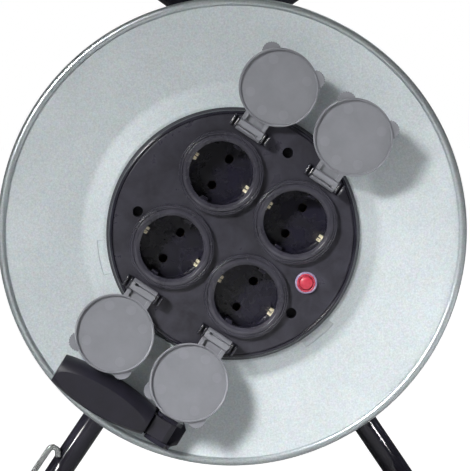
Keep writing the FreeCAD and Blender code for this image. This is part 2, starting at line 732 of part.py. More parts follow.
def make_foot(label, front, length, closed_end):
    """Plastic feet on both foot tubes, round outside with a flat underneath."""
    body = new_body(label, stand_frame)
    foot_out = f"({foot_drop} * tan(legAngle))"
    outer = new_sketch(body, "XZ_Plane", offset=f"-({front})")
    for side in rows:
        circle(outer, f"{side} * {foot_out}", f"-{foot_drop}", "footRadius")
    extrude(body, "Pad", outer, length, back=True)
    start = f"({front} + {closed_end})"
    bore = new_sketch(body, "XZ_Plane", offset=f"-{start}")
    for side in rows:
        circle(bore, f"{side} * {foot_out}", f"-{foot_drop}", "tubeRadius + seatGap")
    extrude(body, "Pocket", bore, length)
    flat = new_sketch(body, "XZ_Plane", offset=f"-({front})")
    for side in rows:
        rectangle(flat, f"{side} * {foot_out}", "-axisHeight - footRadius", "footRadius", "footRadius")
    extrude(body, "Pocket", flat, length)
    return body


def make_carry_grip():
    """Moulded sleeve on the handle bar."""
    half = "(gripSleeveLength / 2)"
    bar = FreeCAD.Placement(
        point("0", f"{stand_plane} - handleReach", "neckTop + handleRise"),
        FreeCAD.Rotation(FreeCAD.Vector(0, 0, 1), 90),
    )
    bore = "(tubeRadius + seatGap)"
    return turned("carry_grip", stand_frame * bar, [
        (bore, f"-{half}"),
        ("gripSleeveRadius - gripSleeveEdge", f"-{half}"),
        ("gripSleeveRadius", f"gripSleeveEdge - {half}"),
        ("gripSleeveRadius", f"{half} - gripSleeveEdge"),
        ("gripSleeveRadius - gripSleeveEdge", half),
        (bore, half),
    ])


def make_cable_hook():
    """Bent wire welded to the left leg, open at its lower end."""
    slope = "tan(legAngle)"
    lean = "cos(legAngle)"

    def left_of_leg(drop, offset):
        return f"-({drop} * {slope} + {offset} / {lean})"

    reach = "(tubeRadius + hookWireRadius + seatGap)"
    depth = f"({stand_plane} - sqrt({reach} ^ 2 - hookWeldOffset ^ 2))"
    weld = left_of_leg("hookWeldDrop", "hookWeldOffset")
    corners = [
        point(weld, depth, "-hookWeldDrop"),
        point(weld, depth, "-hookTopDrop"),
        point(left_of_leg("(hookTopDrop + 2 * hookBend)", "hookOffset"), depth,
              "-(hookTopDrop + 2 * hookBend)"),
        point(left_of_leg("hookEndDrop", "hookOffset"), depth, "-hookEndDrop"),
    ]
    return sweep_bar("cable_hook", hook_path(corners), "hookWireRadius", wire_sides)


def hook_path(corners):
    """Short upright run, one arc over the top and the long run beside the leg."""
    weld, top, bend_end, tip = corners
    radius = number("hookBend")
    upward = (top - weld).normalize()
    downward = (tip - bend_end).normalize()
    sideways = FreeCAD.Vector(-1, 0, 0)
    # the long run is tangent to a circle that touches the upright run
    normal = FreeCAD.Vector(-downward.z, 0, downward.x)
    if normal.x < 0:
        normal = normal * -1
    gap = (weld - tip).dot(normal)
    rise = (gap + radius * (sideways.dot(normal) - 1)) / -upward.dot(normal)
    centre = weld + upward * rise + sideways * radius
    first = centre - sideways * radius
    last = centre - normal * radius
    middle = centre + (upward * 2 - sideways - normal).normalize() * radius
    edges = [
        Part.LineSegment(weld, first).toShape(),
        Part.Arc(first, middle, last).toShape(),
        Part.LineSegment(last, tip).toShape(),
    ]
    return Part.Wire(edges)


# Socket housing

def make_socket_housing():
    """One black moulding: face with rim and lip, four wells with collars, bosses and ears."""
    body = new_body("socket_housing", drum_frame)
    section = new_sketch(body, "XY_Plane")
    inner_face = "-(faceHeight - plateThickness)"
    outline(section, [
        ("0", "-faceHeight"),
        ("faceRadius", "-faceHeight"),
        ("faceRadius", "-rimSlopeHeight"),
        ("rimRadius", "-coneHeight"),
        ("shellRadius", "-coneHeight"),
        ("shellRadius", inner_face),
        ("0", inner_face),
    ])
    spin(body, "Revolution", section)

    root = "-(faceHeight - plateThickness / 2)"
    for row, side, across, up in socket_places():
        collar = new_sketch(body, "XY_Plane", offset=up, across=across)
        outline(collar, [
            ("0", root),
            ("collarRadius", root),
            ("collarRadius", "collarEdge - collarHeight"),
            ("collarRadius - collarEdge", "-collarHeight"),
            ("0", "-collarHeight"),
        ])
        spin(body, "Revolution", collar)

    pots = new_sketch(body, "XZ_Plane", offset="faceHeight - plateThickness / 2")
    for row, side, across, up in socket_places():
        regular(pots, across, up, "(wellRadius + wellWall)", pot_sides)
    pot_length = f"faceHeight - plateThickness / 2 - {well_floor_height} + wellFloor"
    extrude(body, "Pad", pots, pot_length, back=True)

    bosses = new_sketch(body, "XZ_Plane", offset="faceHeight - plateThickness / 2")
    for across, up in screw_places():
        regular(bosses, across, up, "screwBossHalf", boss_sides)
    extrude(body, "Pad", bosses, "screwBossLength - plateThickness / 2", back=True)

    for row, side, across, up in socket_places():
        well = new_sketch(body, "XY_Plane", offset=up, across=across)
        outline(well, [
            ("0", "-collarHeight"),
            ("mouthRadius", "-collarHeight"),
            ("wellRadius", "mouthDepth - collarHeight"),
            ("wellRadius", "wellDepth - collarHeight"),
            ("0", "wellDepth - collarHeight"),
        ])
        spin(body, "Groove", well)

    ribs = new_sketch(body, "XZ_Plane", offset=f"{well_floor_height} - wellFloor / 2")
    rib_half = "((wellRadius + wellWall / 2 - ribReach) / 2)"
    for row, side, across, up in socket_places():
        for way in rows:
            rectangle(ribs, across, f"{up} + {way} * (ribReach + {rib_half})", "(ribWidth / 2)", rib_half)
    extrude(body, "Pad", ribs, "ribHeight + wellFloor / 2")

    recesses = new_sketch(body, "XZ_Plane", offset=f"{well_floor_height} + clipSlotHeight")
    recess_half = "((clipSlotReach - ribReach) / 2)"
    for row, side, across, up in socket_places():
        for way in rows:
            middle = f"{across} + {way} * (clipSlotReach - {recess_half})"
            rectangle(recesses, middle, up, recess_half, "(clipSlotWidth / 2)")
    extrude(body, "Pocket", recesses, "clipSlotHeight + 2 * wellFloor")

    pin_holes = new_sketch(body, "XZ_Plane", offset=well_floor_height)
    for row, side, across, up in socket_places():
        for way in rows:
            circle(pin_holes, across, f"{up} + {way} * pinPitch / 2", "pinHoleRadius")
    extrude(body, "Pocket", pin_holes, "2 * wellFloor")

    heads = new_sketch(body, "XZ_Plane", offset="faceHeight")
    for across, up in screw_places():
        circle(heads, across, up, "screwRecessRadius")
    extrude(body, "Pocket", heads, "screwRecessDepth")
    shanks = new_sketch(body, "XZ_Plane", offset="faceHeight")
    for across, up in screw_places():
        circle(shanks, across, up, "screwRadius + seatGap")
    extrude(body, "Pocket", shanks, "screwBossLength + plateThickness")

    button_hole = new_sketch(body, "XZ_Plane", offset="faceHeight")
    circle(button_hole, "buttonPlace", "0", "neckRadius + seatGap")
    extrude(body, "Pocket", button_hole, "2 * plateThickness")

    add_ears(body)
    return body


def add_ears(body):
    """Double-walled ears, two for each lid; the inner walls hold the lid's pin in six-sided holes."""
    root = "-(faceHeight - plateThickness / 2)"
    top = "-(collarHeight + earTop)"
    shoulder = "-(collarHeight + earTop - earCorner)"
    for side in rows:
        for way in rows:
            for offset in ear_offsets:
                middle = f"{side} * {half_pitch} + {way} * ({offset} + earWall / 2)"
                sketch = new_sketch(body, "YZ_Plane", offset=middle)
                for row in rows:
                    line = f"{row} * hingeAcross"
                    outline(sketch, [
                        (root, f"{line} - earHalfWidth"),
                        (root, f"{line} + earHalfWidth"),
                        (shoulder, f"{line} + earHalfWidth"),
                        (top, f"{line} + earHalfWidth - earCorner"),
                        (top, f"{line} - earHalfWidth + earCorner"),
                        (shoulder, f"{line} - earHalfWidth"),
                    ])
                extrude(body, "Pad", sketch, "earWall", both=True)
    for side in rows:
        holes = new_sketch(body, "YZ_Plane", offset=f"{side} * {half_pitch}")
        for row in rows:
            regular(holes, "-collarHeight", f"{row} * hingeAcross", "(hingePinRadius + seatGap)", boss_sides)
        extrude(body, "Pocket", holes, f"2 * ({ear_offsets[0]} + earWall + earSlot / 2)", both=True)


def make_housing_cover():
    """Pan behind the flange's opening, clamped by the screws, with a spout for the cable."""
    body = new_body("housing_cover", drum_frame)
    section = new_sketch(body, "XY_Plane")
    front = "(flangeSheet - coneHeight)"
    inner = "(panRadius - panWall)"
    outline(section, [
        (inner, front),
        ("panRadius", front),
        ("panRadius", "panBack"),
        ("0", "panBack"),
        ("0", "panBack - panFloor"),
        (inner, "panBack - panFloor"),
    ])
    spin(body, "Revolution", section)
    posts = new_sketch(body, "XZ_Plane", offset="-(panBack - panFloor / 2)")
    for across, up in screw_places():
        regular(posts, across, up, "screwBossHalf", boss_sides)
        circle(posts, across, up, "screwRadius + seatGap")
    post_length = "(panBack - panFloor / 2 + faceHeight - screwBossLength)"
    extrude(body, "Pad", posts, post_length)
    spout_place = ("(spoutPlace * cos(spoutAngle))", "(spoutPlace * sin(spoutAngle))")
    spout = new_sketch(body, "XZ_Plane", offset="-(panBack - panFloor / 2)")
    regular(spout, *spout_place, "spoutHalf", boss_sides)
    extrude(body, "Pad", spout, "spoutLength + panFloor / 2", back=True)
    bore = new_sketch(body, "XZ_Plane", offset="-(panBack - 2 * panFloor)")
    circle(bore, *spout_place, "spoutBoreRadius")
    extrude(body, "Pocket", bore, "2 * panFloor + spoutLength")
    return body


def make_housing_screws():
    body = new_body("housing_screws", drum_frame)
    seat = "(faceHeight - screwRecessDepth)"
    heads = new_sketch(body, "XZ_Plane", offset=seat)
    shanks = new_sketch(body, "XZ_Plane", offset=seat)
    for across, up in screw_places():
        circle(heads, across, up, "screwHeadRadius")
        circle(shanks, across, up, "screwRadius")
    extrude(body, "Pad", heads, "screwHeadHeight")
    extrude(body, "Pad", shanks, "screwLength", back=True)
    return body


# Contacts and other pieces inside the pan

# Outline of an earth clip: share of its bow towards the socket's axis, share of its rise,
# share of the strip's thickness. The strip stands against the recess wall, turns over at the
# top and bows into the well, first along its back and then along its inner side.
clip_shares = (
    (0, 0.93, 0),
    (0.24, 1, 0),
    (0.5, 1, 0),
    (1, 0.7, 0),
    (0.94, 0.45, 0),
    (0.55, 0.2, 0),
    (0.55, 0.2, -1),
    (0.94, 0.45, -1),
    (1, 0.7, -1),
    (0.5, 0.93, -0.4),
    (0.24, 0.93, 0.4),
    (0, 0.88, 1),
)
clip_slit_share = 0.2


def make_earth_contacts():
    """Two bowed, split clips in each well, one each side of the pins."""
    body = new_body("earth_contacts", drum_frame)
    wall = "(clipSlotReach - seatGap)"
    floor = well_floor_height
    for row in rows:
        level = f"{row} * {half_pitch}"
        sketch = new_sketch(body, "XY_Plane", offset=level)
        slits = new_sketch(body, "XY_Plane", offset=level)
        for side in rows:
            for way in rows:
                base = f"{side} * {half_pitch} + {way} * {wall}"

                tail = f"-({floor} - clipTail)"
                points = [(base, tail)]
                for bow_share, rise_share, strip_share in clip_shares:
                    inward = f"({bow_share} * clipBow + {strip_share} * clipStrip)"
                    points.append((
                        f"{base} - {way} * {inward}",
                        f"-({floor} + {rise_share} * clipRise)",
                    ))
                points.append((f"{base} - {way} * clipStrip", tail))
                outline(sketch, points)
                slit_low = f"-({floor} + {clip_slit_share} * clipRise)"
                slit_high = f"-({floor} + clipRise + clipStrip)"
                outline(slits, [
                    (f"{base} + clipBow", slit_low),
                    (f"{base} + clipBow", slit_high),
                    (f"{base} - clipBow", slit_high),
                    (f"{base} - clipBow", slit_low),
                ])
        extrude(body, "Pad", sketch, "clipWidth", both=True)
        extrude(body, "Pocket", slits, "clipSplit", both=True)
    return body


def make_live_contacts(label, way, level):
    """Brass rail that joins the same pin of the four sockets, with a sleeve for each pin."""
    body = new_body(label, drum_frame)
    rail = new_sketch(body, "XZ_Plane", offset=f"-{level}")
    strips = [f"{row} * {half_pitch} + {way} * pinPitch / 2" for row in rows]
    half = f"({half_pitch} + contactHalf)"
    cross = f"({way} * railShift)"
    top, bottom = strips
    outline(rail, [
        (f"-{half}", f"{bottom} - railWidth / 2"),
        (half, f"{bottom} - railWidth / 2"),
        (half, f"{bottom} + railWidth / 2"),
        (f"{cross} + railWidth / 2", f"{bottom} + railWidth / 2"),
        (f"{cross} + railWidth / 2", f"{top} - railWidth / 2"),
        (half, f"{top} - railWidth / 2"),
        (half, f"{top} + railWidth / 2"),
        (f"-{half}", f"{top} + railWidth / 2"),
        (f"-{half}", f"{top} - railWidth / 2"),
        (f"{cross} - railWidth / 2", f"{top} - railWidth / 2"),
        (f"{cross} - railWidth / 2", f"{bottom} + railWidth / 2"),
        (f"-{half}", f"{bottom} + railWidth / 2"),
    ])
    extrude(body, "Pad", rail, "railThickness", back=True)
    front = f"({well_floor_height} - wellFloor - seatGap)"
    sleeves = new_sketch(body, "XZ_Plane", offset=front)
    bores = new_sketch(body, "XZ_Plane", offset=front)
    for strip in strips:
        for side in rows:
            rectangle(sleeves, f"{side} * {half_pitch}", strip, "contactHalf", "contactHalf")
            rectangle(bores, f"{side} * {half_pitch}", strip, "contactBore", "contactBore")
    extrude(body, "Pad", sleeves, "contactLength", back=True)
    extrude(body, "Pocket", bores, "contactLength")
    return body


def make_terminal_block():
    body = new_body("terminal_block", drum_frame)
    block = new_sketch(body, "XZ_Plane", offset="-(panBack - panFloor)")
    rectangle(block, "-terminalPlace", "0", "(terminalWidth / 2)", "(terminalHeight / 2)")
    extrude(body, "Pad", block, "terminalDepth")
    holes = new_sketch(body, "XZ_Plane", offset="-(panBack - panFloor - terminalDepth)")
    for step in (-1, 0, 1):
        rectangle(
            holes, "-terminalPlace", f"{step} * terminalPitch", "terminalHoleHalf", "terminalHoleHalf",
        )
    extrude(body, "Pocket", holes, "terminalDepth / 2")
    return body


def make_thermal_switch():
    """Thermal cut-out behind the face plate, with its neck through the plate."""
    body = new_body("thermal_switch", drum_frame)
    case = new_sketch(body, "XZ_Plane", offset="faceHeight - plateThickness")
    rectangle(case, "buttonPlace", "0", "(switchWidth / 2)", "(switchHeight / 2)")
    extrude(body, "Pad", case, "switchDepth", back=True)
    neck = new_sketch(body, "XZ_Plane", offset="faceHeight - 2 * plateThickness")
    circle(neck, "buttonPlace", "0", "neckRadius")
    extrude(body, "Pad", neck, "2 * plateThickness + neckHeight")
    bore = new_sketch(body, "XZ_Plane", offset="faceHeight + neckHeight")
    circle(bore, "buttonPlace", "0", "buttonRadius + buttonGap")
    depth = "(neckHeight - buttonRise + buttonLength + buttonTravel + buttonGap)"
    extrude(body, "Pocket", bore, depth)
    return body


def make_switch_bezel():
    seat = FreeCAD.Placement(point("buttonPlace", "0", "0"), FreeCAD.Rotation())
    return turned("switch_bezel", drum_frame * seat, [
        ("neckRadius + seatGap", "-faceHeight"),
        ("bezelRadius", "-faceHeight"),
        ("bezelRadius - bezelHeight / 4", "-faceHeight - bezelHeight"),
        ("neckRadius + seatGap", "-faceHeight - bezelHeight"),
    ])


def make_reset_button():
    seat = FreeCAD.Placement(point("buttonPlace", "0", "0"), FreeCAD.Rotation())
    top = "(faceHeight + buttonRise)"
    return turned("reset_button", drum_frame * seat, [
        ("0", f"-{top}"),
        ("0", f"-({top} - buttonLength)"),
        ("buttonRadius", f"-({top} - buttonLength)"),
        ("buttonRadius", f"-({top} - buttonDome)"),
        ("buttonRadius - buttonDome", f"-{top}"),
    ])


# Lids

def serrated_tab(sketch, angle):
    """Thumb tab at the lid's edge, its outer side cut in teeth."""
    bearing = f"(90 + {angle} * thumbAngle)"
    across = f"(thumbReach * cos({bearing}))"
    up = f"(hingeReach + thumbReach * sin({bearing}))"
    points = [("0", "hingeReach + thumbReach / 2")]
    for step in range(2 * tab_teeth + 1):
        turn = f"({bearing} - 90 + {step} * 90 / {tab_teeth})"
        radius = "thumbRadius" if step % 2 else "(thumbRadius - thumbTooth)"
        points.append((f"{across} + {radius} * cos({turn})", f"{up} + {radius} * sin({turn})"))
    outline(sketch, points)


def make_lid(label, side, row):
    body = new_body(label, lid_frame(side, row))
    outer = "-(lidGap + lidThickness)"
    disc = new_sketch(body, "XY_Plane", offset=outer)
    circle(disc, "0", "hingeReach", "lidRadius")
    extrude(body, "Pad", disc, "lidThickness")
    arms = new_sketch(body, "XY_Plane", offset=outer)
    arm_middle = "((knuckleLength - lidArmWidth) / 2)"
    arm_end = "(hingeReach - sqrt(lidRadius ^ 2 - knuckleLength ^ 2 / 4) + lidArmWidth / 2)"
    for way in rows:
        rectangle(arms, f"{way} * {arm_middle}", f"{arm_end} / 2", "(lidArmWidth / 2)", f"({arm_end} / 2)")
    extrude(body, "Pad", arms, "lidThickness")
    web = new_sketch(body, "XY_Plane", offset=outer)
    rectangle(web, "0", f"{arm_end} / 2", "(knuckleLength / 2)", f"({arm_end} / 2)")
    extrude(body, "Pad", web, "lidWebThickness")
    recess = new_sketch(body, "XY_Plane", offset="-lidGap")
    circle(recess, "0", "hingeReach", "lidRadius - lidRimWidth")
    extrude(body, "Pocket", recess, "lidRecess")
    for angle in rows:
        tabs = new_sketch(body, "XY_Plane", offset=outer)
        serrated_tab(tabs, angle)
        extrude(body, "Pad", tabs, "thumbThickness")
    knuckle = new_sketch(body, "YZ_Plane")
    circle(knuckle, "0", "0", "knuckleRadius")
    extrude(body, "Pad", knuckle, "knuckleLength", both=True)
    slit = new_sketch(body, "XY_Plane", offset="knuckleRadius")
    rectangle(slit, "0", "-knuckleSlitPlace", "(knuckleSlitLength / 2)", "(knuckleSlit / 2)")
    extrude(body, "Pocket", slit, "knuckleSlitDepth")
    bore = new_sketch(body, "YZ_Plane")
    circle(bore, "0", "0", "hingePinRadius + runningGap")
    extrude(body, "Pocket", bore, "2 * knuckleLength", both=True)
    return body


def make_lid_pins():
    """Steel pins of the four lids, held in the housing's ears."""
    body = new_body("lid_pins", drum_frame)
    length = f"2 * ({ear_offsets[0]} + earWall)"
    for side in rows:
        sketch = new_sketch(body, "YZ_Plane", offset=f"{side} * {half_pitch}")
        for row in rows:
            circle(sketch, "-collarHeight", f"{row} * hingeAcross", "hingePinRadius")
        extrude(body, "Pad", sketch, length, both=True)
    return body


# Crank

def make_crank_base():
    """Plate on the flange with two cheeks for the crank's pin."""
    body = new_body("crank_base", crank_frame)
    plate = new_sketch(body, "XZ_Plane", offset="-crankRise")
    long_side = "baseHalfLength"
    short_side = "baseHalfWidth"
    cut = "baseCorner"
    outline(plate, [
        (f"-{long_side} + {cut}", f"-{short_side}"),
        (f"{long_side} - {cut}", f"-{short_side}"),
        (long_side, f"-{short_side} + {cut}"),
        (long_side, f"{short_side} - {cut}"),
        (f"{long_side} - {cut}", short_side),
        (f"-{long_side} + {cut}", short_side),
        (f"-{long_side}", f"{short_side} - {cut}"),
        (f"-{long_side}", f"-{short_side} + {cut}"),
    ])
    extrude(body, "Pad", plate, "baseThickness")
    foot = "(crankRise - baseThickness / 2)"
    for way in rows:
        cheek = new_sketch(body, "XY_Plane", offset=f"{way} * (cheekInner + cheekThickness / 2)")
        outline(cheek, [
            ("-cheekHalfLength", foot),
            ("cheekHalfLength", foot),
            ("cheekHalfLength", "-cheekTop + cheekCorner"),
            ("cheekHalfLength - cheekCorner", "-cheekTop"),
            ("-cheekHalfLength + cheekCorner", "-cheekTop"),
            ("-cheekHalfLength", "-cheekTop + cheekCorner"),
        ])
        circle(cheek, "0", "0", "crankPinRadius + seatGap")
        extrude(body, "Pad", cheek, "cheekThickness", both=True)
    return body


def make_crank_pin():
    half = "(cheekInner + cheekThickness + crankPinProud)"
    body = new_body("crank_pin", crank_frame)
    section = new_sketch(body, "XY_Plane")
    circle(section, "0", "0", "crankPinRadius")
    extrude(body, "Pad", section, f"2 * {half}", both=True)
    return body


def make_crank_knuckle():
    """Block that turns on the crank's pin and carries the spindle."""
    body = new_body("crank_knuckle", crank_frame)
    side = new_sketch(body, "XY_Plane")
    width = "2 * (cheekInner - cheekGap)"
    # an octagon round the pin, drawn out towards the grip
    high = "(crankBlockRadius * sin(90 * 3 / 4))"
    near = "(crankBlockRadius * cos(90 * 3 / 4))"
    outline(side, [
        ("-crankBlockReach", f"{near} - {high} - crankBlockFlare"),
        (f"-crankBlockReach + {near} / 2", f"-{high}"),
        (near, f"-{high}"),
        (high, f"-{near}"),
        (high, near),
        (near, high),
        (f"-crankBlockReach + {near} / 2", high),
        ("-crankBlockReach", f"{high} + crankBlockFlare - {near}"),
    ])
    extrude(body, "Pad", side, width, both=True)
    pivot = new_sketch(body, "XY_Plane")
    circle(pivot, "0", "0", "crankPinRadius + runningGap")
    extrude(body, "Pocket", pivot, "4 * cheekInner", both=True)
    socket = new_sketch(body, "YZ_Plane", offset="-crankBlockReach")
    circle(socket, "0", "0", "spindleRadius + seatGap / 2")
    extrude(body, "Pocket", socket, "crankBlockReach - spindleRoot + seatGap", back=True)
    return body


along_grip = FreeCAD.Placement(
    FreeCAD.Vector(),
    FreeCAD.Rotation(FreeCAD.Vector(0, 0, 1), 90),
)


def make_crank_spindle():
    """Steel rod fixed in the knuckle, on which the grip turns."""
    far = "(crankBlockReach + gripGap + gripLength - gripEndWall - endFloat)"
    return turned("crank_spindle", crank_frame * along_grip, [
        ("0", "spindleRoot"),
        ("spindleRadius", "spindleRoot"),
        ("spindleRadius", far),
        ("0", far),
    ])


def make_crank_grip():
    """Barrel-shaped grip with two flat faces, bored for the spindle."""
    start = "(crankBlockReach + gripGap)"
    end = f"({start} + gripLength)"
    bore = "(spindleRadius + runningGap)"
    body = turned("crank_grip", crank_frame * along_grip, [
        (bore, start),
        ("gripEndRadius", start),
        ("gripShoulderRadius", f"{start} + gripShoulder"),
        ("gripRadius", f"{start} + gripLength / 2"),
        ("gripShoulderRadius", f"{end} - gripShoulder"),
        ("gripEndRadius", end),
        ("0", end),
        ("0", f"{end} - gripEndWall"),
        (bore, f"{end} - gripEndWall"),
    ])
    flats = new_sketch(body, "XY_Plane", turn="-gripFlatAngle")
    for way in rows:
        middle = f"{way} * (gripFlat + gripRadius)"
        rectangle(flats, middle, f"{start} + gripLength / 2", "gripRadius", "gripLength")
    extrude(body, "Pocket", flats, "4 * gripRadius", both=True)
    return body


pieces = [
    make_stand_tube(),
    make_hub_plate(),
    make_axle(),
    make_axle_nut(),
    make_carry_grip(),
    make_foot("front_foot_caps", "-footReach", "capLength", "capWall"),
    make_foot("rear_foot_sleeves", "sleevePlace", "sleeveLength", "0"),
    make_cable_hook(),
    make_front_flange(),
    make_rear_flange(),
    make_barrel(),
    make_cable_grommet(),
    make_hub_bush(),
    make_socket_housing(),
    make_housing_cover(),
    make_housing_screws(),
    make_earth_contacts(),
    make_live_contacts("live_contacts_a", 1, "railLevelFront"),
    make_live_contacts("live_contacts_b", -1, "railLevelBack"),
    make_terminal_block(),
    make_thermal_switch(),
    make_switch_bezel(),
    make_reset_button(),
    make_lid_pins(),
    make_crank_base(),
    make_crank_pin(),
    make_crank_knuckle(),
    make_crank_spindle(),
    make_crank_grip(),
]
for index, (row, side, across, up) in enumerate(socket_places(), 1):
    pieces.append(make_lid(f"lid_{index}", side, row))

doc.recompute()

faults = [item.Label for item in doc.Objects if {"Invalid", "Error"} & set(item.State)]
for piece in pieces:
    if piece.Shape.isNull() or not piece.Shape.isValid() or not piece.Shape.Solids:
        faults.append(piece.Label)
if faults:
    raise RuntimeError("not sound: " + ", ".join(faults))

os.makedirs("parts", exist_ok=True)
for piece in pieces:
    piece.Shape.exportStep(os.path.join("parts", piece.Label + ".step"))
    print(piece.Label, len(piece.Shape.Solids), round(piece.Shape.Volume))
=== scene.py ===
import math
import bpy
from mathutils import Matrix, Vector


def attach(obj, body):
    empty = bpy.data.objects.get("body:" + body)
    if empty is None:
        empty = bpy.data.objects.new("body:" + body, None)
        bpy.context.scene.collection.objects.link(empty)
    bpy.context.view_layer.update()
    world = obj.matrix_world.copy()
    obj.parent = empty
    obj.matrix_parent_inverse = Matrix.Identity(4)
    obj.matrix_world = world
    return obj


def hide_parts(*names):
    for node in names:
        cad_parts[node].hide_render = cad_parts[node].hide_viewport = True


# Empty sheet-steel cable drum on its tube stand, dressed for the photograph.
# Pieces are modelled in millimetres round the origin and settled into the frame when finished.

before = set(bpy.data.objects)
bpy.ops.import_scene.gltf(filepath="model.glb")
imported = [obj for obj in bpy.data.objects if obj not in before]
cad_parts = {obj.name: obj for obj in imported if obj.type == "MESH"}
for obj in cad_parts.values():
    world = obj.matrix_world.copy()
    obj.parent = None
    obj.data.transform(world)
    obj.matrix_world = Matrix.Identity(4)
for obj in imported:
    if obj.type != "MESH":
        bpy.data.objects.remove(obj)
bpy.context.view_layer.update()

mm = 0.001
frontPlane = -43.125  # flat face of the front flange
axisHeight = 200
panelTurn = math.radians(33.7)  # how far the socket panel has rolled round
standPlane = 116  # tube centres behind the front flange


def place(along, across, outward, origin):
    # frame from three directions and an origin in millimetres, ready for metres
    turn = Matrix((along, across, outward)).transposed().to_4x4()
    return Matrix.Translation(Vector(origin) * mm) @ turn @ Matrix.Scale(mm, 4)


# drum: X along the lid hinges, Y across them, Z out towards the viewer
alongHinges = Vector((math.cos(panelTurn), 0, -math.sin(panelTurn)))
acrossHinges = Vector((math.sin(panelTurn), 0, math.cos(panelTurn)))
towardsViewer = Vector((0, -1, 0))
drumPlace = place(alongHinges, acrossHinges, towardsViewer, (0, frontPlane, axisHeight))
# stand: X right, Y up, Z towards the viewer
standPlace = place((1, 0, 0), (0, 0, 1), towardsViewer, (0, frontPlane, axisHeight))


# Modelling helpers

def deselectAll():
    if bpy.context.object and bpy.context.object.mode != "OBJECT":
        bpy.ops.object.mode_set(mode="OBJECT")
    bpy.ops.object.select_all(action="DESELECT")


def pickOnly(piece):
    deselectAll()
    piece.select_set(True)
    bpy.context.view_layer.objects.active = piece


def named(name):
    piece = bpy.context.object
    piece.name = name
    piece.data.name = name
    return piece


def editAll(piece):
    pickOnly(piece)
    bpy.ops.object.mode_set(mode="EDIT")
    bpy.ops.mesh.select_all(action="SELECT")


def tidyMesh(piece, gap=0.004):
    # doubles merged, then every face turned outwards
    editAll(piece)
    bpy.ops.mesh.remove_doubles(threshold=gap)
    bpy.ops.mesh.normals_make_consistent(inside=False)
    bpy.ops.object.mode_set(mode="OBJECT")


def softEdges(piece, width, segments=2, angle=32):
    # rounds every edge sharper than the angle
    pickOnly(piece)
    bevel = piece.modifiers.new("softEdges", "BEVEL")
    bevel.width = width
    bevel.segments = segments
    bevel.limit_method = "ANGLE"
    bevel.angle_limit = math.radians(angle)
    bpy.ops.object.modifier_apply(modifier="softEdges")


def smooth(piece, angle=38):
    pickOnly(piece)
    bpy.ops.object.shade_smooth_by_angle(angle=math.radians(angle))
    # large flat faces keep their own normal where they meet a fillet
    weighted = piece.modifiers.new("weighted", "WEIGHTED_NORMAL")
    weighted.keep_sharp = True
    weighted.weight = 100
    bpy.ops.object.modifier_apply(modifier="weighted")


def cutAway(piece, cutters):
    for cutter in cutters:
        pickOnly(piece)
        hole = piece.modifiers.new("hole", "BOOLEAN")
        hole.operation = "DIFFERENCE"
        hole.solver = "EXACT"
        hole.object = cutter
        bpy.ops.object.modifier_apply(modifier="hole")
        bpy.data.objects.remove(cutter)


def joined(name, parts):
    deselectAll()
    for part in parts:
        part.select_set(True)
    bpy.context.view_layer.objects.active = parts[0]
    if len(parts) > 1:
        bpy.ops.object.join()
    return named(name)


def copied(piece, where):
    # copy with its own mesh, moved by a matrix
    twin = piece.copy()
    twin.data = piece.data.copy()
    bpy.context.collection.objects.link(twin)
    twin.matrix_world = where
    pickOnly(twin)
    bpy.ops.object.transform_apply(location=True, rotation=True, scale=True)
    return twin


def bakePlace(piece, where):
    pickOnly(piece)
    piece.matrix_world = where @ piece.matrix_world
    bpy.ops.object.transform_apply(location=True, rotation=True, scale=True)


def dressed(part, material):
    # material of a part that is joined to others later
    part.data.materials.clear()
    part.data.materials.append(material)
    return part


def repaint(piece, material, chosen):
    # another material on the faces whose centre passes the test
    piece.data.materials.append(material)
    index = len(piece.data.materials) - 1
    for face in piece.data.polygons:
        if chosen(face.center):
            face.material_index = index


def finish(piece, where, body, material, *nodes):
    # settles a finished piece in the frame, gives it its material and its body
    bakePlace(piece, where)
    if material:
        dressed(piece, material)
    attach(piece, body)
    if nodes:
        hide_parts(*nodes)
    return piece


def spun(name, section, steps, turn=360, start=0):
    # section in radius and height, extruded point by point and spun round Z
    deselectAll()
    bpy.ops.mesh.primitive_plane_add(size=1)
    piece = named(name)
    bpy.ops.object.mode_set(mode="EDIT")
    bpy.ops.mesh.select_all(action="SELECT")
    bpy.ops.mesh.merge(type="CENTER")
    bpy.ops.transform.translate(value=(section[0][0], 0, section[0][1]))
    for (fromX, fromZ), (toX, toZ) in zip(section, section[1:]):
        bpy.ops.mesh.extrude_region_move(
            TRANSFORM_OT_translate={"value": (toX - fromX, 0, toZ - fromZ)})
    bpy.ops.mesh.select_all(action="SELECT")
    if turn < 360:
        bpy.ops.mesh.remove_doubles(threshold=0.0001)
        bpy.ops.mesh.edge_face_add()
    bpy.ops.mesh.spin(steps=steps, angle=math.radians(turn), center=(0, 0, 0), axis=(0, 0, 1))
    bpy.ops.object.mode_set(mode="OBJECT")
    tidyMesh(piece)
    if start:
        bakePlace(piece, Matrix.Rotation(math.radians(start), 4, "Z"))
    return piece


def rounded(points, radii, steps=5):
    # polyline whose inner corners are replaced by arcs of the given radii
    line = [Vector(points[0])]
    for index, radius in enumerate(radii, 1):
        before, corner, after = (Vector(points[index + k]) for k in (-1, 0, 1))
        if not radius:
            line.append(corner)
            continue
        into, out = (corner - before).normalized(), (after - corner).normalized()
        half = into.angle(out) / 2
        reach = radius * math.tan(half)
        middle = corner + (out - into).normalized() * (radius / math.cos(half))
        first = corner - into * reach - middle
        side = 1 if into.x * out.y - into.y * out.x > 0 else -1
        for step in range(steps + 1):
            swing = Matrix.Rotation(side * 2 * half * step / steps, 2)
            line.append(middle + swing @ first)
    line.append(Vector(points[-1]))
    return [tuple(point) for point in line]


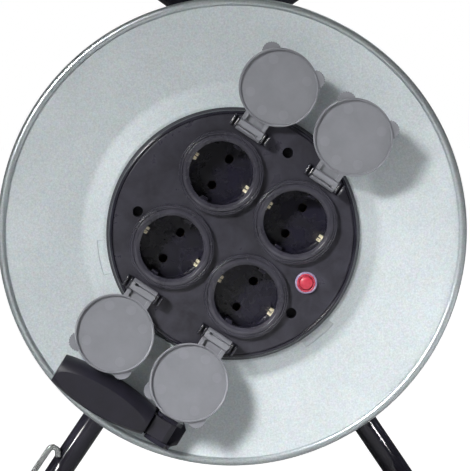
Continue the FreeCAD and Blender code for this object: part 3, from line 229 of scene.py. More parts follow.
def disc(name, radius, bottom, top, sides=48, centre=(0, 0)):
    # solid round from a filled circle, extruded upwards
    deselectAll()
    bpy.ops.mesh.primitive_circle_add(
        vertices=sides, radius=radius, fill_type="NGON", location=(*centre, bottom))
    piece = named(name)
    bpy.ops.object.transform_apply(location=True, rotation=True, scale=True)
    bpy.ops.object.mode_set(mode="EDIT")
    bpy.ops.mesh.select_all(action="SELECT")
    bpy.ops.mesh.extrude_region_move(TRANSFORM_OT_translate={"value": (0, 0, top - bottom)})
    bpy.ops.object.mode_set(mode="OBJECT")
    tidyMesh(piece)
    return piece


def block(name, low, high):
    # box between two corners, from a plane extruded upwards
    deselectAll()
    bpy.ops.mesh.primitive_plane_add(size=1)
    piece = named(name)
    bpy.ops.object.mode_set(mode="EDIT")
    bpy.ops.mesh.select_all(action="SELECT")
    bpy.ops.transform.resize(value=(high[0] - low[0], high[1] - low[1], 1))
    bpy.ops.transform.translate(
        value=((low[0] + high[0]) / 2, (low[1] + high[1]) / 2, low[2]))
    bpy.ops.mesh.extrude_region_move(
        TRANSFORM_OT_translate={"value": (0, 0, high[2] - low[2])})
    bpy.ops.object.mode_set(mode="OBJECT")
    tidyMesh(piece)
    return piece


def prism(name, outline, bottom, top):
    # flat outline in X and Y, drawn vertex by vertex, filled and extruded upwards
    deselectAll()
    bpy.ops.mesh.primitive_plane_add(size=1)
    piece = named(name)
    bpy.ops.object.mode_set(mode="EDIT")
    bpy.ops.mesh.select_all(action="SELECT")
    bpy.ops.mesh.merge(type="CENTER")
    bpy.ops.transform.translate(value=(outline[0][0], outline[0][1], bottom))
    ring = list(outline) + [outline[0]]
    for (fromX, fromY), (toX, toY) in zip(ring, ring[1:]):
        bpy.ops.mesh.extrude_region_move(
            TRANSFORM_OT_translate={"value": (toX - fromX, toY - fromY, 0)})
    bpy.ops.mesh.select_all(action="SELECT")
    bpy.ops.mesh.remove_doubles(threshold=0.0001)
    bpy.ops.mesh.edge_face_add()
    bpy.ops.mesh.extrude_region_move(TRANSFORM_OT_translate={"value": (0, 0, top - bottom)})
    bpy.ops.object.mode_set(mode="OBJECT")
    tidyMesh(piece)
    return piece


def bentBar(name, corners, bends, radius, sides=32):
    # round bar: a circle extruded along each straight run and spun round each bend
    corners = [Vector(corner) for corner in corners]
    heading = (corners[1] - corners[0]).normalized()
    deselectAll()
    bpy.ops.mesh.primitive_circle_add(
        vertices=sides, radius=radius, fill_type="NGON", location=corners[0],
        rotation=heading.to_track_quat("Z", "Y").to_euler())
    piece = named(name)
    bpy.ops.object.transform_apply(location=True, rotation=True, scale=True)
    bpy.ops.object.mode_set(mode="EDIT")
    bpy.ops.mesh.select_all(action="SELECT")
    start = corners[0]
    for index, bend in enumerate([*bends, 0], 1):
        corner = corners[index]
        into = (corner - corners[index - 1]).normalized()
        if not bend:
            bpy.ops.mesh.extrude_region_move(TRANSFORM_OT_translate={"value": corner - start})
            break
        out = (corners[index + 1] - corner).normalized()
        turn = into.angle(out)
        reach = bend * math.tan(turn / 2)
        first = corner - into * reach
        bpy.ops.mesh.extrude_region_move(TRANSFORM_OT_translate={"value": first - start})
        middle = corner + (out - into).normalized() * (bend / math.cos(turn / 2))
        bpy.ops.mesh.spin(steps=max(4, round(turn * 9)), angle=turn, center=middle,
                          axis=out.cross(into).normalized())
        start = corner + out * reach
    bpy.ops.object.mode_set(mode="OBJECT")
    tidyMesh(piece)
    return piece


def refined(node, edge, material, body, angle=32, segments=2, smoothing=38):
    # merged copy of a CAD piece with its sharp edges softened by a few tenths of a millimetre
    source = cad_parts[node]
    piece = bpy.data.objects.new(node + "_finished", source.data.copy())
    bpy.context.collection.objects.link(piece)
    bakePlace(piece, Matrix.Scale(1 / mm, 4))
    editAll(piece)
    bpy.ops.mesh.remove_doubles(threshold=0.001)
    bpy.ops.mesh.dissolve_limited(angle_limit=math.radians(0.4))
    bpy.ops.object.mode_set(mode="OBJECT")
    if edge:
        softEdges(piece, edge, segments, angle)
    smooth(piece, smoothing)
    return finish(piece, Matrix.Scale(mm, 4), body, material, node)


# Materials

def linearColour(text):
    # sRGB hex to the linear colour that the shader takes
    channels = [int(text[k:k + 2], 16) / 255 for k in (1, 3, 5)]
    linear = [c / 12.92 if c <= 0.04045 else ((c + 0.055) / 1.055) ** 2.4 for c in channels]
    return (*linear, 1)


def addNode(tree, kind, inputs=None, **settings):
    # one node with its settings; an input is a value or the socket that feeds it
    made = tree.nodes.new(kind)
    for key, value in settings.items():
        setattr(made, key, value)
    for key, value in (inputs or {}).items():
        if isinstance(value, bpy.types.NodeSocket):
            tree.links.new(value, made.inputs[key])
        else:
            made.inputs[key].default_value = value
    return made


def blankMaterial(name):
    material = bpy.data.materials.new(name)
    material.use_nodes = True
    tree = material.node_tree
    shader = tree.nodes["Principled BSDF"]
    spot = addNode(tree, "ShaderNodeTexCoord").outputs["Object"]
    return material, tree, shader, spot


def perMillimetre(size):
    # texture scale for a feature of that size in millimetres
    return 1 / (size * mm)


def ramp(tree, factor, stops):
    made = addNode(tree, "ShaderNodeValToRGB", {"Fac": factor})
    made.color_ramp.elements[0].position, made.color_ramp.elements[1].position = (
        stops[0][0], stops[-1][0])
    for position, colour in stops[1:-1]:
        made.color_ramp.elements.new(position).color = linearColour(colour)
    made.color_ramp.elements[0].color = linearColour(stops[0][1])
    made.color_ramp.elements[len(stops) - 1].color = linearColour(stops[-1][1])
    return made.outputs["Color"]


def spread(tree, factor, low, high, fromLow=0.3, fromHigh=0.7):
    made = addNode(tree, "ShaderNodeMapRange", {
        "Value": factor, "From Min": fromLow, "From Max": fromHigh, "To Min": low, "To Max": high})
    return made.outputs["Result"]


def galvanisedSheet(name, metallic, low, high, relief):
    # cold-rolled steel, zinc coated and skin-passed: dull pale grey-blue with a fine grain
    material, tree, shader, spot = blankMaterial(name)
    grain = addNode(tree, "ShaderNodeTexNoise", {
        "Vector": spot, "Scale": perMillimetre(1.1), "Detail": 4.0, "Roughness": 0.75})
    cloud = addNode(tree, "ShaderNodeTexNoise", {
        "Vector": spot, "Scale": perMillimetre(45), "Detail": 3.0})
    spangle = addNode(tree, "ShaderNodeTexVoronoi", {
        "Vector": spot, "Scale": perMillimetre(2.6), "Randomness": 1.0})
    colour = ramp(tree, grain.outputs["Fac"], [(0.34, "#989fa3"), (0.66, "#ccd2d5")])
    patch = ramp(tree, cloud.outputs["Fac"], [(0.35, "#b2babd"), (0.65, "#bfc7ca")])
    mixed = addNode(tree, "ShaderNodeMix", {"Factor": 0.45, 6: colour, 7: patch},
                    data_type="RGBA", blend_type="MIX")
    flake = addNode(tree, "ShaderNodeMix", {
        "Factor": 0.07, 6: mixed.outputs[2], 7: spangle.outputs["Color"]},
        data_type="RGBA", blend_type="SOFT_LIGHT")
    tree.links.new(flake.outputs[2], shader.inputs["Base Color"])
    shader.inputs["Metallic"].default_value = metallic
    rough = spread(tree, grain.outputs["Fac"], low, high)
    tree.links.new(rough, shader.inputs["Roughness"])
    bump = addNode(tree, "ShaderNodeBump", {
        "Height": grain.outputs["Fac"], "Strength": relief, "Distance": 0.0002})
    tree.links.new(bump.outputs["Normal"], shader.inputs["Normal"])
    return material


def mouldedPlastic(name, dark, light, low, high, flow=0.0, bumpSize=0.35, specular=0.5):
    # injection-moulded plastic: fine spark-eroded grain, cloudy flow and handling marks
    material, tree, shader, spot = blankMaterial(name)
    flowMarks = addNode(tree, "ShaderNodeTexNoise", {
        "Vector": spot, "Scale": perMillimetre(13), "Detail": 5.0, "Roughness": 0.6,
        "Distortion": 0.35})
    grain = addNode(tree, "ShaderNodeTexNoise", {
        "Vector": spot, "Scale": perMillimetre(bumpSize), "Detail": 2.0})
    colour = ramp(tree, flowMarks.outputs["Fac"], [(0.32, dark), (0.68, light)])
    tree.links.new(colour, shader.inputs["Base Color"])
    rough = spread(tree, flowMarks.outputs["Fac"], high, low)
    tree.links.new(rough, shader.inputs["Roughness"])
    shader.inputs["Specular IOR Level"].default_value = specular
    shader.inputs["IOR"].default_value = 1.5
    bump = addNode(tree, "ShaderNodeBump", {
        "Height": grain.outputs["Fac"], "Strength": 0.1 + flow, "Distance": 0.0001})
    tree.links.new(bump.outputs["Normal"], shader.inputs["Normal"])
    return material


def glossPaint():
    # black powder coat on tube: glossy, with the faint orange peel of the baked powder
    material, tree, shader, spot = blankMaterial("blackPowderCoat")
    peel = addNode(tree, "ShaderNodeTexNoise", {
        "Vector": spot, "Scale": perMillimetre(2.2), "Detail": 1.0})
    dust = addNode(tree, "ShaderNodeTexNoise", {
        "Vector": spot, "Scale": perMillimetre(30), "Detail": 4.0})
    colour = ramp(tree, dust.outputs["Fac"], [(0.35, "#1c1b22"), (0.7, "#2a2932")])
    tree.links.new(colour, shader.inputs["Base Color"])
    tree.links.new(spread(tree, dust.outputs["Fac"], 0.13, 0.2), shader.inputs["Roughness"])
    shader.inputs["Specular IOR Level"].default_value = 0.45
    bump = addNode(tree, "ShaderNodeBump", {
        "Height": peel.outputs["Fac"], "Strength": 0.15, "Distance": 0.0003})
    tree.links.new(bump.outputs["Normal"], shader.inputs["Normal"])
    return material


def platedMetal(name, dark, light, low, high, metallic=1):
    # stamped or turned and plated: bright metal with faint draw lines
    material, tree, shader, spot = blankMaterial(name)
    drawn = addNode(tree, "ShaderNodeMapping", {"Vector": spot, "Scale": (1, 0.15, 1)})
    lines = addNode(tree, "ShaderNodeTexNoise", {
        "Vector": drawn.outputs["Vector"], "Scale": perMillimetre(0.8), "Detail": 3.0})
    colour = ramp(tree, lines.outputs["Fac"], [(0.3, dark), (0.7, light)])
    tree.links.new(colour, shader.inputs["Base Color"])
    tree.links.new(spread(tree, lines.outputs["Fac"], low, high), shader.inputs["Roughness"])
    shader.inputs["Metallic"].default_value = metallic
    return material


def clearPlastic(name, colour, roughness, transmission):
    # polycarbonate or soft PVC that lets light through, slightly cloudy from moulding
    material, tree, shader, spot = blankMaterial(name)
    cloud = addNode(tree, "ShaderNodeTexNoise", {
        "Vector": spot, "Scale": perMillimetre(2), "Detail": 2.0})
    tree.links.new(ramp(tree, cloud.outputs["Fac"], [(0.3, colour[0]), (0.7, colour[1])]),
                   shader.inputs["Base Color"])
    tree.links.new(spread(tree, cloud.outputs["Fac"], roughness, roughness + 0.08),
                   shader.inputs["Roughness"])
    shader.inputs["Transmission Weight"].default_value = transmission
    shader.inputs["IOR"].default_value = 1.5
    return material


zincSheet = galvanisedSheet("galvanisedSheetSteel", 0.12, 0.6, 0.74, 0.12)
rolledZinc = galvanisedSheet("galvanisedSteelRolledEdge", 0.75, 0.3, 0.4, 0.03)
housingPlastic = mouldedPlastic("blackPolypropyleneMoulded", "#1e1d25", "#3b3a43", 0.24, 0.46)
glossPlastic = mouldedPlastic("blackPolypropylenePolished", "#1b1a22", "#2b2a33", 0.08, 0.16)
earPlastic = mouldedPlastic("blackPolypropyleneHingeEar", "#1b1a22", "#2b2a33", 0.06, 0.12,
                            specular=1.0)
# the housing's black plastic painted lighter: painted highlight on the collar crests where they
# catch the light
collarLightPlastic = mouldedPlastic("blackPolypropylenePaintedLight", "#2e2d35", "#403f48", 0.2, 0.3)
# the housing's black plastic painted darker: painted shade inside the socket wells
wellShadePlastic = mouldedPlastic("blackPolypropylenePaintedShade", "#0f0e17", "#201e2c", 0.18, 0.36)
gripPlastic = mouldedPlastic("blackPolyamideGrip", "#14131b", "#201e29", 0.36, 0.48, bumpSize=0.6)
lidPlastic = mouldedPlastic("greyPolypropyleneMoulded", "#727379", "#797a80", 0.42, 0.52)
markPlastic = mouldedPlastic("greyPolypropyleneEjectorMark", "#77787e", "#7d7e84", 0.36, 0.44)
powderCoat = glossPaint()
# screw heads painted near black: painted shade down in their deep recesses
shadedScrewSteel = platedMetal("screwSteelPaintedShade", "#1b1b1d", "#2a2a2c", 0.4, 0.6)
brightZinc = platedMetal("brightZincPlatedSteel", "#a9abad", "#cfd1d2", 0.22, 0.36)
nickelBrass = platedMetal("nickelPlatedBrass", "#e4d8b4", "#fbf3dc", 0.24, 0.4, 0.55)
# brass painted dark brown: painted shade on the live contacts deep behind the socket floors
shadedBrass = platedMetal("brassPaintedShade", "#2c2412", "#463a20", 0.45, 0.6)
rubber = mouldedPlastic("blackThermoplasticRubber", "#1d1c1e", "#29282b", 0.6, 0.8, 0.1, 0.8)
ceramicWhite = mouldedPlastic("whiteUreaMoulded", "#cfccc2", "#dedbd2", 0.4, 0.5)
redBoot = clearPlastic("redSoftPvc", ("#c4384e", "#d6566a"), 0.16, 0.25)
redButton = clearPlastic("redMouldedAbs", ("#ab2c3e", "#bd3f50"), 0.3, 0.0)
clearRing = clearPlastic("clearPolycarbonate", ("#b9a9d0", "#cfc3e0"), 0.14, 0.45)
print("materials ready")


# Flanges and barrel

flangeSizes = {
    "rim": 145, "bead": 2.6, "beadSteps": 20, "sheet": 1, "flat": 139.9, "rear": -92,
    "coneFoot": 91.5, "coneTop": 79.5, "coneRise": 9, "footBend": 11, "topBend": 2.2,
    "opening": 72, "hub": 12.05, "stamp": (31, 34, 60, 63), "stampDepth": 2.5, "stampBend": 1.5,
    "slot": (75.65, 83.55), "slotTurn": 15.08, "slotStarts": (-16, 104, 224), "slotCut": (4, 12),
    "steps": 240,
}


def beadArc(level, outward):
    # the sheet rolled round a wire at its edge
    s = flangeSizes
    middle = s["rim"] - s["bead"]
    tuck = math.asin(s["sheet"] / 2 / s["bead"])
    arc = []
    for step in range(s["beadSteps"] + 1):
        swing = math.pi - tuck - (2 * math.pi - 2 * tuck) * step / s["beadSteps"]
        height = level + outward * s["bead"] * math.sin(swing)
        arc.append((middle + s["bead"] * math.cos(swing), height))
    return arc


def slotCutter(start, low, high):
    inner, outer = flangeSizes["slot"]
    turn = flangeSizes["slotTurn"]
    section = [(inner, low), (outer, low), (outer, high), (inner, high), (inner, low)]
    return spun("slotCutter", section, 8, turn=turn, start=start + turn / 2)


def onBead(spot):
    return math.hypot(spot.x, spot.y) > flangeSizes["rim"] - 2 * flangeSizes["bead"]


def coneShift():
    # how far the sheet's thickness moves the cone's bends on its inner side
    s = flangeSizes
    return s["sheet"] * math.tan(math.atan(s["coneRise"] / (s["coneFoot"] - s["coneTop"])) / 2)


def finishFlange(piece, node, low, high):
    cutAway(piece, [slotCutter(start, low, high) for start in flangeSizes["slotStarts"]])
    dressed(piece, zincSheet)
    repaint(piece, rolledZinc, onBead)
    smooth(piece, 32)
    return finish(piece, drumPlace, "drum", None, node)


def makeFrontFlange():
    s = flangeSizes
    sheet, top, shift = s["sheet"], s["coneRise"], coneShift()
    outer = rounded([(s["opening"], top), (s["coneTop"], top), (s["coneFoot"], 0), (s["flat"], 0)],
                    [s["topBend"], s["footBend"]])
    inner = rounded([(s["flat"], -sheet), (s["coneFoot"] - shift, -sheet),
                     (s["coneTop"] - shift, top - sheet), (s["opening"], top - sheet),
                     (s["opening"], top)],
                    [s["footBend"] + sheet, s["topBend"] - sheet, 0])
    section = outer[:-1] + beadArc(-sheet / 2, 1) + inner[1:]
    near, far = s["slotCut"]
    return finishFlange(spun("frontFlange", section, s["steps"]), "front_flange", near, far)


def makeRearFlange():
    # as the front one, facing back, with a stamped ring round the hub
    s = flangeSizes
    sheet, foot, shift = s["sheet"], s["rear"], coneShift()
    top = foot - s["coneRise"]
    bed = top + s["stampDepth"]
    ringIn, bedIn, bedOut, ringOut = s["stamp"]
    stampBends = [s["stampBend"]] * 4
    outer = rounded([(s["hub"], top), (ringIn, top), (bedIn, bed), (bedOut, bed), (ringOut, top),
                     (s["coneTop"], top), (s["coneFoot"], foot), (s["flat"], foot)],
                    [*stampBends, s["topBend"], s["footBend"]], steps=3)
    inner = rounded([(s["flat"], foot + sheet), (s["coneFoot"] - shift, foot + sheet),
                     (s["coneTop"] - shift, top + sheet), (ringOut, top + sheet),
                     (bedOut, bed + sheet), (bedIn, bed + sheet), (ringIn, top + sheet),
                     (s["hub"], top + sheet), (s["hub"], top)],
                    [s["footBend"] + sheet, s["topBend"] - sheet, *stampBends, 0], steps=3)
    section = outer[:-1] + beadArc(foot + sheet / 2, -1) + inner[1:]
    near, far = s["slotCut"]
    piece = spun("rearFlange", section, s["steps"])
    return finishFlange(piece, "rear_flange", foot - far, foot - near)


makeFrontFlange()
makeRearFlange()
refined("barrel", 0.25, zincSheet, "drum", angle=40)
print("flanges and barrel ready")


# Socket housing

housingSizes = {
    "pitch": 27.2, "hingeRow": 58.7, "collarTop": 19, "screwRing": 60, "screwSpread": 110,
    "face": [(0, 14), (73.3, 14), (73.6, 13.3), (74, 13.3), (74.3, 14.05), (75.6, 14.05),
             (76.2, 12.2), (78, 9.02), (70, 9.02), (70, 11.5), (0, 11.5)],
    "faceBends": [0.25, 0.15, 0.15, 0.3, 0.9, 0.6, 0.3, 0, 0.5],
    "boss": [(2.1, 4), (4.8, 4), (4.8, 13.2), (3.25, 13.2), (3.25, 7), (2.1, 7), (2.1, 4)],
    "glossFrom": 73.5, "cut": (5, 20), "socketCut": 22.3, "screwCut": 3.25, "buttonCut": 5.65,
    "buttonSpot": (53.5, 0),
}
socketSpots = [(side * housingSizes["pitch"], row * housingSizes["pitch"])
               for row in (1, -1) for side in (1, -1)]
screwSpots = []
for turn in (0, 1, -1):
    swing = math.radians(90 + turn * housingSizes["screwSpread"])
    screwSpots.append((housingSizes["screwRing"] * math.cos(swing),
                       housingSizes["screwRing"] * math.sin(swing)))


def makeHousingFace():
    s = housingSizes
    face = spun("housingFace", rounded(s["face"], s["faceBends"], steps=5), 192)
    cutters = [disc("cut", s["socketCut"], *s["cut"], 64, spot) for spot in socketSpots]
    cutters += [disc("cut", s["screwCut"], *s["cut"], 32, spot) for spot in screwSpots]
    cutters.append(disc("cut", s["buttonCut"], *s["cut"], 40, s["buttonSpot"]))
    cutAway(face, cutters)
    bosses = []
    for spot in screwSpots:
        boss = spun("boss", s["boss"], 32)
        bosses.append(copied(boss, Matrix.Translation((*spot, 0))))
        bpy.data.objects.remove(boss)
    face = dressed(joined("housingFace", [face, *bosses]), housingPlastic)
    repaint(face, glossPlastic, lambda spot: math.hypot(spot.x, spot.y) > s["glossFrom"])
    return face


wellSizes = {
    "section": [(0, 0.5), (19.5, 0.5), (19.5, 17.4), (21.4, 18.9), (23.2, 18.7), (23.3, 17.9),
                (23.8, 17.9), (23.9, 18.6), (24.6, 18.5), (24.7, 17.7), (25.1, 17.7), (25.2, 18.2),
                (25.8, 17.6), (25.8, 13.2), (22.5, 13.2), (22.5, -2.1), (0, -2.1)],
    "bends": [0.6, 0.4, 0.8, 0.25, 0.15, 0.15, 0.25, 0.25, 0.12, 0.12, 0.2, 0.3, 0, 0, 0.3],
    "pinHole": 2.8, "pinPlace": 9.5, "pinCut": (-5, 3), "mouth": 16.9, "mouthRadius": 21.5,
    "recess": (17.5, 21.2), "recessHalf": 3, "recessCut": (-5, 14.5),
    "rib": (17.5, 20), "ribHalf": 2.3, "ribEnds": (-1, 14),
}


def makeSocketWell():
    # one socket: stepped collar, sloped mouth, well with guide ribs, pin holes and clip recesses
    s = wellSizes
    mouth = s["mouth"]
    well = spun("socketWell", rounded(s["section"], s["bends"], steps=3), 96)
    cutters = [disc("cut", s["pinHole"], *s["pinCut"], 32, (0, way * s["pinPlace"]))
               for way in (1, -1)]
    low, high = s["recessCut"]
    for way in (1, -1):
        near, far = sorted(way * reach for reach in s["recess"])
        cutters.append(block("cut", (near, -s["recessHalf"], low), (far, s["recessHalf"], high)))
    cutAway(well, cutters)
    dressed(well, housingPlastic)
    # the well insides below the mouth get the painted shade
    repaint(well, wellShadePlastic,
            lambda spot: spot.z < mouth and math.hypot(spot.x, spot.y) < s["mouthRadius"])
    # the collar tops above the mouth get the painted highlight
    repaint(well, collarLightPlastic, lambda spot: spot.z >= mouth)
    smooth(well, 34)
    ribs = []
    low, high = s["ribEnds"]
    for way in (1, -1):
        near, far = sorted(way * reach for reach in s["rib"])
        rib = block("rib", (-s["ribHalf"], near, low), (s["ribHalf"], far, high))
        softEdges(rib, 0.35)
        smooth(rib)
        # the guide ribs inside the well carry the same painted shade
        ribs.append(dressed(rib, wellShadePlastic))
    return joined("socketWell", [well, *ribs])


earSizes = {
    "half": 3.8, "foot": 12.8, "top": 22.4, "shoulder": 1.9, "wall": 0.65, "offsets": (9.5, 12.3),
}


def makeEar():
    # one wall of a double hinge ear, with rounded shoulders, seen along the hinge
    s = earSizes
    half, foot, top = s["half"], s["foot"], s["top"]
    outline = rounded([(-half, foot), (-half, top), (half, top), (half, foot)],
                      [s["shoulder"], s["shoulder"]], steps=5)
    wall = prism("ear", outline, -s["wall"], s["wall"])
    softEdges(wall, 0.55, 4)
    smooth(wall, 50)
    return wall


face = makeHousingFace()
smooth(face, 32)
finish(face, drumPlace, "drum", None, "socket_housing")
well = makeSocketWell()
wells = [copied(well, Matrix.Translation((*spot, 0))) for spot in socketSpots]
bpy.data.objects.remove(well)
finish(joined("socketWells", wells), drumPlace, "drum", None, "socket_housing")
ear = makeEar()
ears = []
for row in (1, -1):
    for side in (1, -1):
        for way in (1, -1):
            for offset in earSizes["offsets"]:
                along = side * housingSizes["pitch"] + way * offset
                stand = Matrix(((0, 0, 1, along), (1, 0, 0, row * housingSizes["hingeRow"]),
                                (0, 1, 0, 0), (0, 0, 0, 1)))
                ears.append(copied(ear, stand))
bpy.data.objects.remove(ear)
finish(joined("hingeEars", ears), drumPlace, "drum", earPlastic, "socket_housing")
print("socket housing ready")


# Lids

lidSizes = {
    "radius": 24.3, "rimWidth": 1.2, "back": -2.9, "front": -0.3, "recess": -2.2, "openTilt": 12,
    "middle": 31.5, "markAngles": (-92, -47, -137, 46, 134), "markReach": 17.5, "markRadius": 3,
    "markRise": 0.06, "teeth": 24, "tab": 6.2, "tabRoot": 5.7, "tabPlace": 22.3, "tabAngle": 44.5,
    "tabBack": -2.86, "tabFront": -1.74, "arm": (5.8, 8.4), "armEnd": 9.4, "armFront": -0.35,
    "web": 7, "webFront": -2.3, "knuckle": 3.9, "half": 8.4, "shelf": 3.4, "shelfTop": 3.1,
    "slit": (-0.8, 0.15), "slitEnd": 6, "notch": (4.2, 6.2, -1.2, 0.4), "bore": 1.25,
}


def makeLid():
    # flat cap with a raised rim, two toothed thumb tabs, arms, web and a slit knuckle
    s = lidSizes
    recess, middle = s["recess"], s["middle"]
    section = rounded([
        (0, s["back"]), (s["radius"], s["back"]), (s["radius"], s["front"]),
        (s["radius"] - s["rimWidth"], s["front"]), (s["radius"] - s["rimWidth"], recess),
        (0, recess)], [0.5, 0.5, 0.5, 0.3], steps=3)
    cap = spun("lid", section, 128)
    smooth(cap, 34)
    parts = [dressed(copied(cap, Matrix.Translation((0, middle, 0))), lidPlastic)]
    bpy.data.objects.remove(cap)
    rise, wide = s["markRise"], s["markRadius"]
    mark = spun("ejectorMark", [
        (0, recess - rise), (wide, recess - rise), (wide, recess + rise / 2),
        (wide * 0.9, recess + rise), (wide * 0.8, recess + rise / 2), (0, recess + rise / 2)], 40)
    for angle in s["markAngles"]:
        swing = math.radians(angle)
        spot = (s["markReach"] * math.cos(swing), middle + s["markReach"] * math.sin(swing), 0)
        parts.append(dressed(copied(mark, Matrix.Translation(spot)), markPlastic))
    bpy.data.objects.remove(mark)
    for way in (1, -1):
        parts += [makeThumbTab(way), makeArm(way)]
    web = block("web", (-s["web"], 1.5, -2.8), (s["web"], 8.6, s["webFront"]))
    parts.append(dressed(web, lidPlastic))
    parts.append(makeKnuckle())
    return joined("lid", parts)


def makeThumbTab(way):
    # half-round tab whose edge is cut in fine teeth for the thumb
    s = lidSizes
    bearing = math.radians(90 + way * s["tabAngle"])
    centre = Vector((s["tabPlace"] * math.cos(bearing),
                     s["middle"] + s["tabPlace"] * math.sin(bearing)))
    middle, hidden = Vector((0, s["middle"])), s["radius"] - s["rimWidth"] / 2
    teeth = []
    for step in range(2 * s["teeth"]):
        swing = bearing + math.pi + math.pi * step / s["teeth"]
        radius = s["tab"] if step % 2 else s["tabRoot"]
        teeth.append(centre + radius * Vector((math.cos(swing), math.sin(swing))))
    outline = [spot for spot in teeth if (spot - middle).length > hidden]
    last, first = ((spot - middle).normalized() for spot in (outline[-1], outline[0]))
    outline += [middle + last.lerp(first, step / 6).normalized() * hidden for step in range(7)]
    tab = prism("thumbTab", outline, s["tabBack"], s["tabFront"])
    softEdges(tab, 0.12, 1, 50)
    smooth(tab, 30)
    return dressed(tab, lidPlastic)


def makeArm(way):
    s = lidSizes
    near, far = sorted((way * s["arm"][0], way * s["arm"][1]))
    arm = block("arm", (near, 0.5, s["back"] + 0.02), (far, s["armEnd"], s["armFront"]))
    softEdges(arm, 0.3)
    smooth(arm)
    return dressed(arm, lidPlastic)


def makeKnuckle():
    # round bar towards the socket, flat shelf towards the cap, and a slit between the two
    s = lidSizes
    outline = []
    for step in range(33):
        swing = math.radians(98 + (330 - 98) * step / 32)
        outline.append((s["knuckle"] * math.cos(swing), s["knuckle"] * math.sin(swing)))
    outline += [(s["shelf"], s["shelfTop"] - 0.5), (s["shelf"] - 0.5, s["shelfTop"])]
    knuckle = prism("knuckle", outline, -s["half"], s["half"])
    bakePlace(knuckle, Matrix(((0, 0, 1, 0), (1, 0, 0, 0), (0, 1, 0, 0), (0, 0, 0, 1))))
    low, high, beyond = 1.4, s["knuckle"] + 2, s["half"] + 2
    slit = block("cut", (-beyond, s["slit"][0], low), (s["slitEnd"], s["slit"][1], high))
    notch = block("cut", (s["notch"][0], s["notch"][2], low), (s["notch"][1], s["notch"][3], high))
    bore = disc("cut", s["bore"], -beyond, beyond, 24)
    bakePlace(bore, Matrix.Rotation(math.radians(90), 4, "Y"))
    cutAway(knuckle, [slit, notch, bore])
    softEdges(knuckle, 0.2, 2, 40)
    smooth(knuckle, 34)
    return dressed(knuckle, lidPlastic)


lid = makeLid()
for index, (row, side) in enumerate(((1, 1), (1, -1), (-1, 1), (-1, -1)), 1):
    tilt = math.radians(lidSizes["openTilt"])
    along = Vector((row, 0, 0))
    outward = Vector((0, row * math.cos(tilt), math.sin(tilt)))
    upward = along.cross(outward)
    seat = Matrix((along, outward, upward)).transposed().to_4x4()
    hinge = (side * housingSizes["pitch"], row * housingSizes["hingeRow"],
             housingSizes["collarTop"])
    seat = Matrix.Translation(hinge) @ seat
    twin = copied(lid, seat)
    twin.name = twin.data.name = f"lidCap{index}"
    finish(twin, drumPlace, f"lid_{index}", None, f"lid_{index}")
bpy.data.objects.remove(lid)
refined("lid_pins", 0.2, brightZinc, "drum")
print("lids ready")


# Reset button

buttonSizes = {
    "ring": [(5.65, 14), (6.8, 14), (6.8, 15.4), (6.2, 16.3), (5.65, 16.3), (5.65, 14)],
    "ringBends": [0.1, 0.5, 0.4, 0.2],
    "boot": [(4.52, 14.4), (5.62, 14.4), (5.62, 16.2), (5.0, 16.7), (4.52, 16.2), (4.52, 14.4)],
    "bootBends": [0, 0.6, 0.4, 0.2],
    "cap": [(0, 17.1), (2.6, 16.9), (4.3, 15.9), (4.3, 5.1), (0, 5.1)],
    "capBends": [3, 1.2, 0.3],
}


def makeButton():
    s = buttonSizes
    spot = Matrix.Translation((*housingSizes["buttonSpot"], 0))
    ring = spun("clearRing", rounded(s["ring"], s["ringBends"], steps=4), 72)
    smooth(ring)
    finish(copied(ring, spot), drumPlace, "drum", clearRing, "switch_bezel")
    bpy.data.objects.remove(ring)
    boot = spun("bootSkirt", rounded(s["boot"], s["bootBends"], steps=4), 72)
    smooth(boot)
    skirt = copied(boot, spot)
    skirt.name = "bootSkirt"
    finish(skirt, drumPlace, "drum", redBoot)
    bpy.data.objects.remove(boot)
    cap = spun("button", rounded(s["cap"], s["capBends"], steps=5), 64)
    smooth(cap)
    finish(copied(cap, spot), drumPlace, "reset_button", redButton, "reset_button")
    bpy.data.objects.remove(cap)


makeButton()


# Crank

crankSizes = {
    "along": 31, "across": -123.8, "skew": 2.5, "rise": 14.1, "start": 10.4, "length": 64.5,
    "endRadius": 9.3, "midRadius": 13.3, "facet": 9.5, "facetTurn": 18, "bore": 3.1,
    "endWall": 4,
}


def crankPlace():
    # X from the pivot towards the spindle's root, Z towards the viewer
    skew = Matrix.Rotation(math.radians(crankSizes["skew"]), 4, "Z")
    spot = Matrix.Translation((crankSizes["along"], crankSizes["across"], crankSizes["rise"]))
    return drumPlace @ spot @ skew


def makeGrip():
    # barrel-shaped grip: rings swell towards the middle, then two long flats are sliced off
    s = crankSizes
    rings = 24
    section = [(s["bore"], 0)]
    for step in range(rings + 1):
        share = step / rings
        swell = math.sin(math.pi * share) ** 0.85
        radius = s["endRadius"] + (s["midRadius"] - s["endRadius"]) * swell
        section.append((radius, s["length"] * share))
    inside = s["length"] - s["endWall"]
    section += [(0, s["length"]), (0, inside), (s["bore"], inside), (s["bore"], 0)]
    grip = spun("crankGrip", section, 96)
    for way in (0, 180):
        swing = math.radians(way - s["facetTurn"])
        normal = Vector((math.cos(swing), math.sin(swing), 0))
        editAll(grip)
        bpy.ops.mesh.bisect(plane_co=normal * s["facet"], plane_no=normal, use_fill=True,
                            clear_outer=True, threshold=0.0001)
        bpy.ops.object.mode_set(mode="OBJECT")
    softEdges(grip, 0.5, 3, 17)
    smooth(grip, 30)
    # its axis is Z so far: turn it to run away from the pivot
    turn = Matrix(((0, 0, -1, -s["start"]), (0, 1, 0, 0), (1, 0, 0, 0), (0, 0, 0, 1)))
    return finish(grip, crankPlace() @ turn, "crank_grip", gripPlastic, "crank_grip")


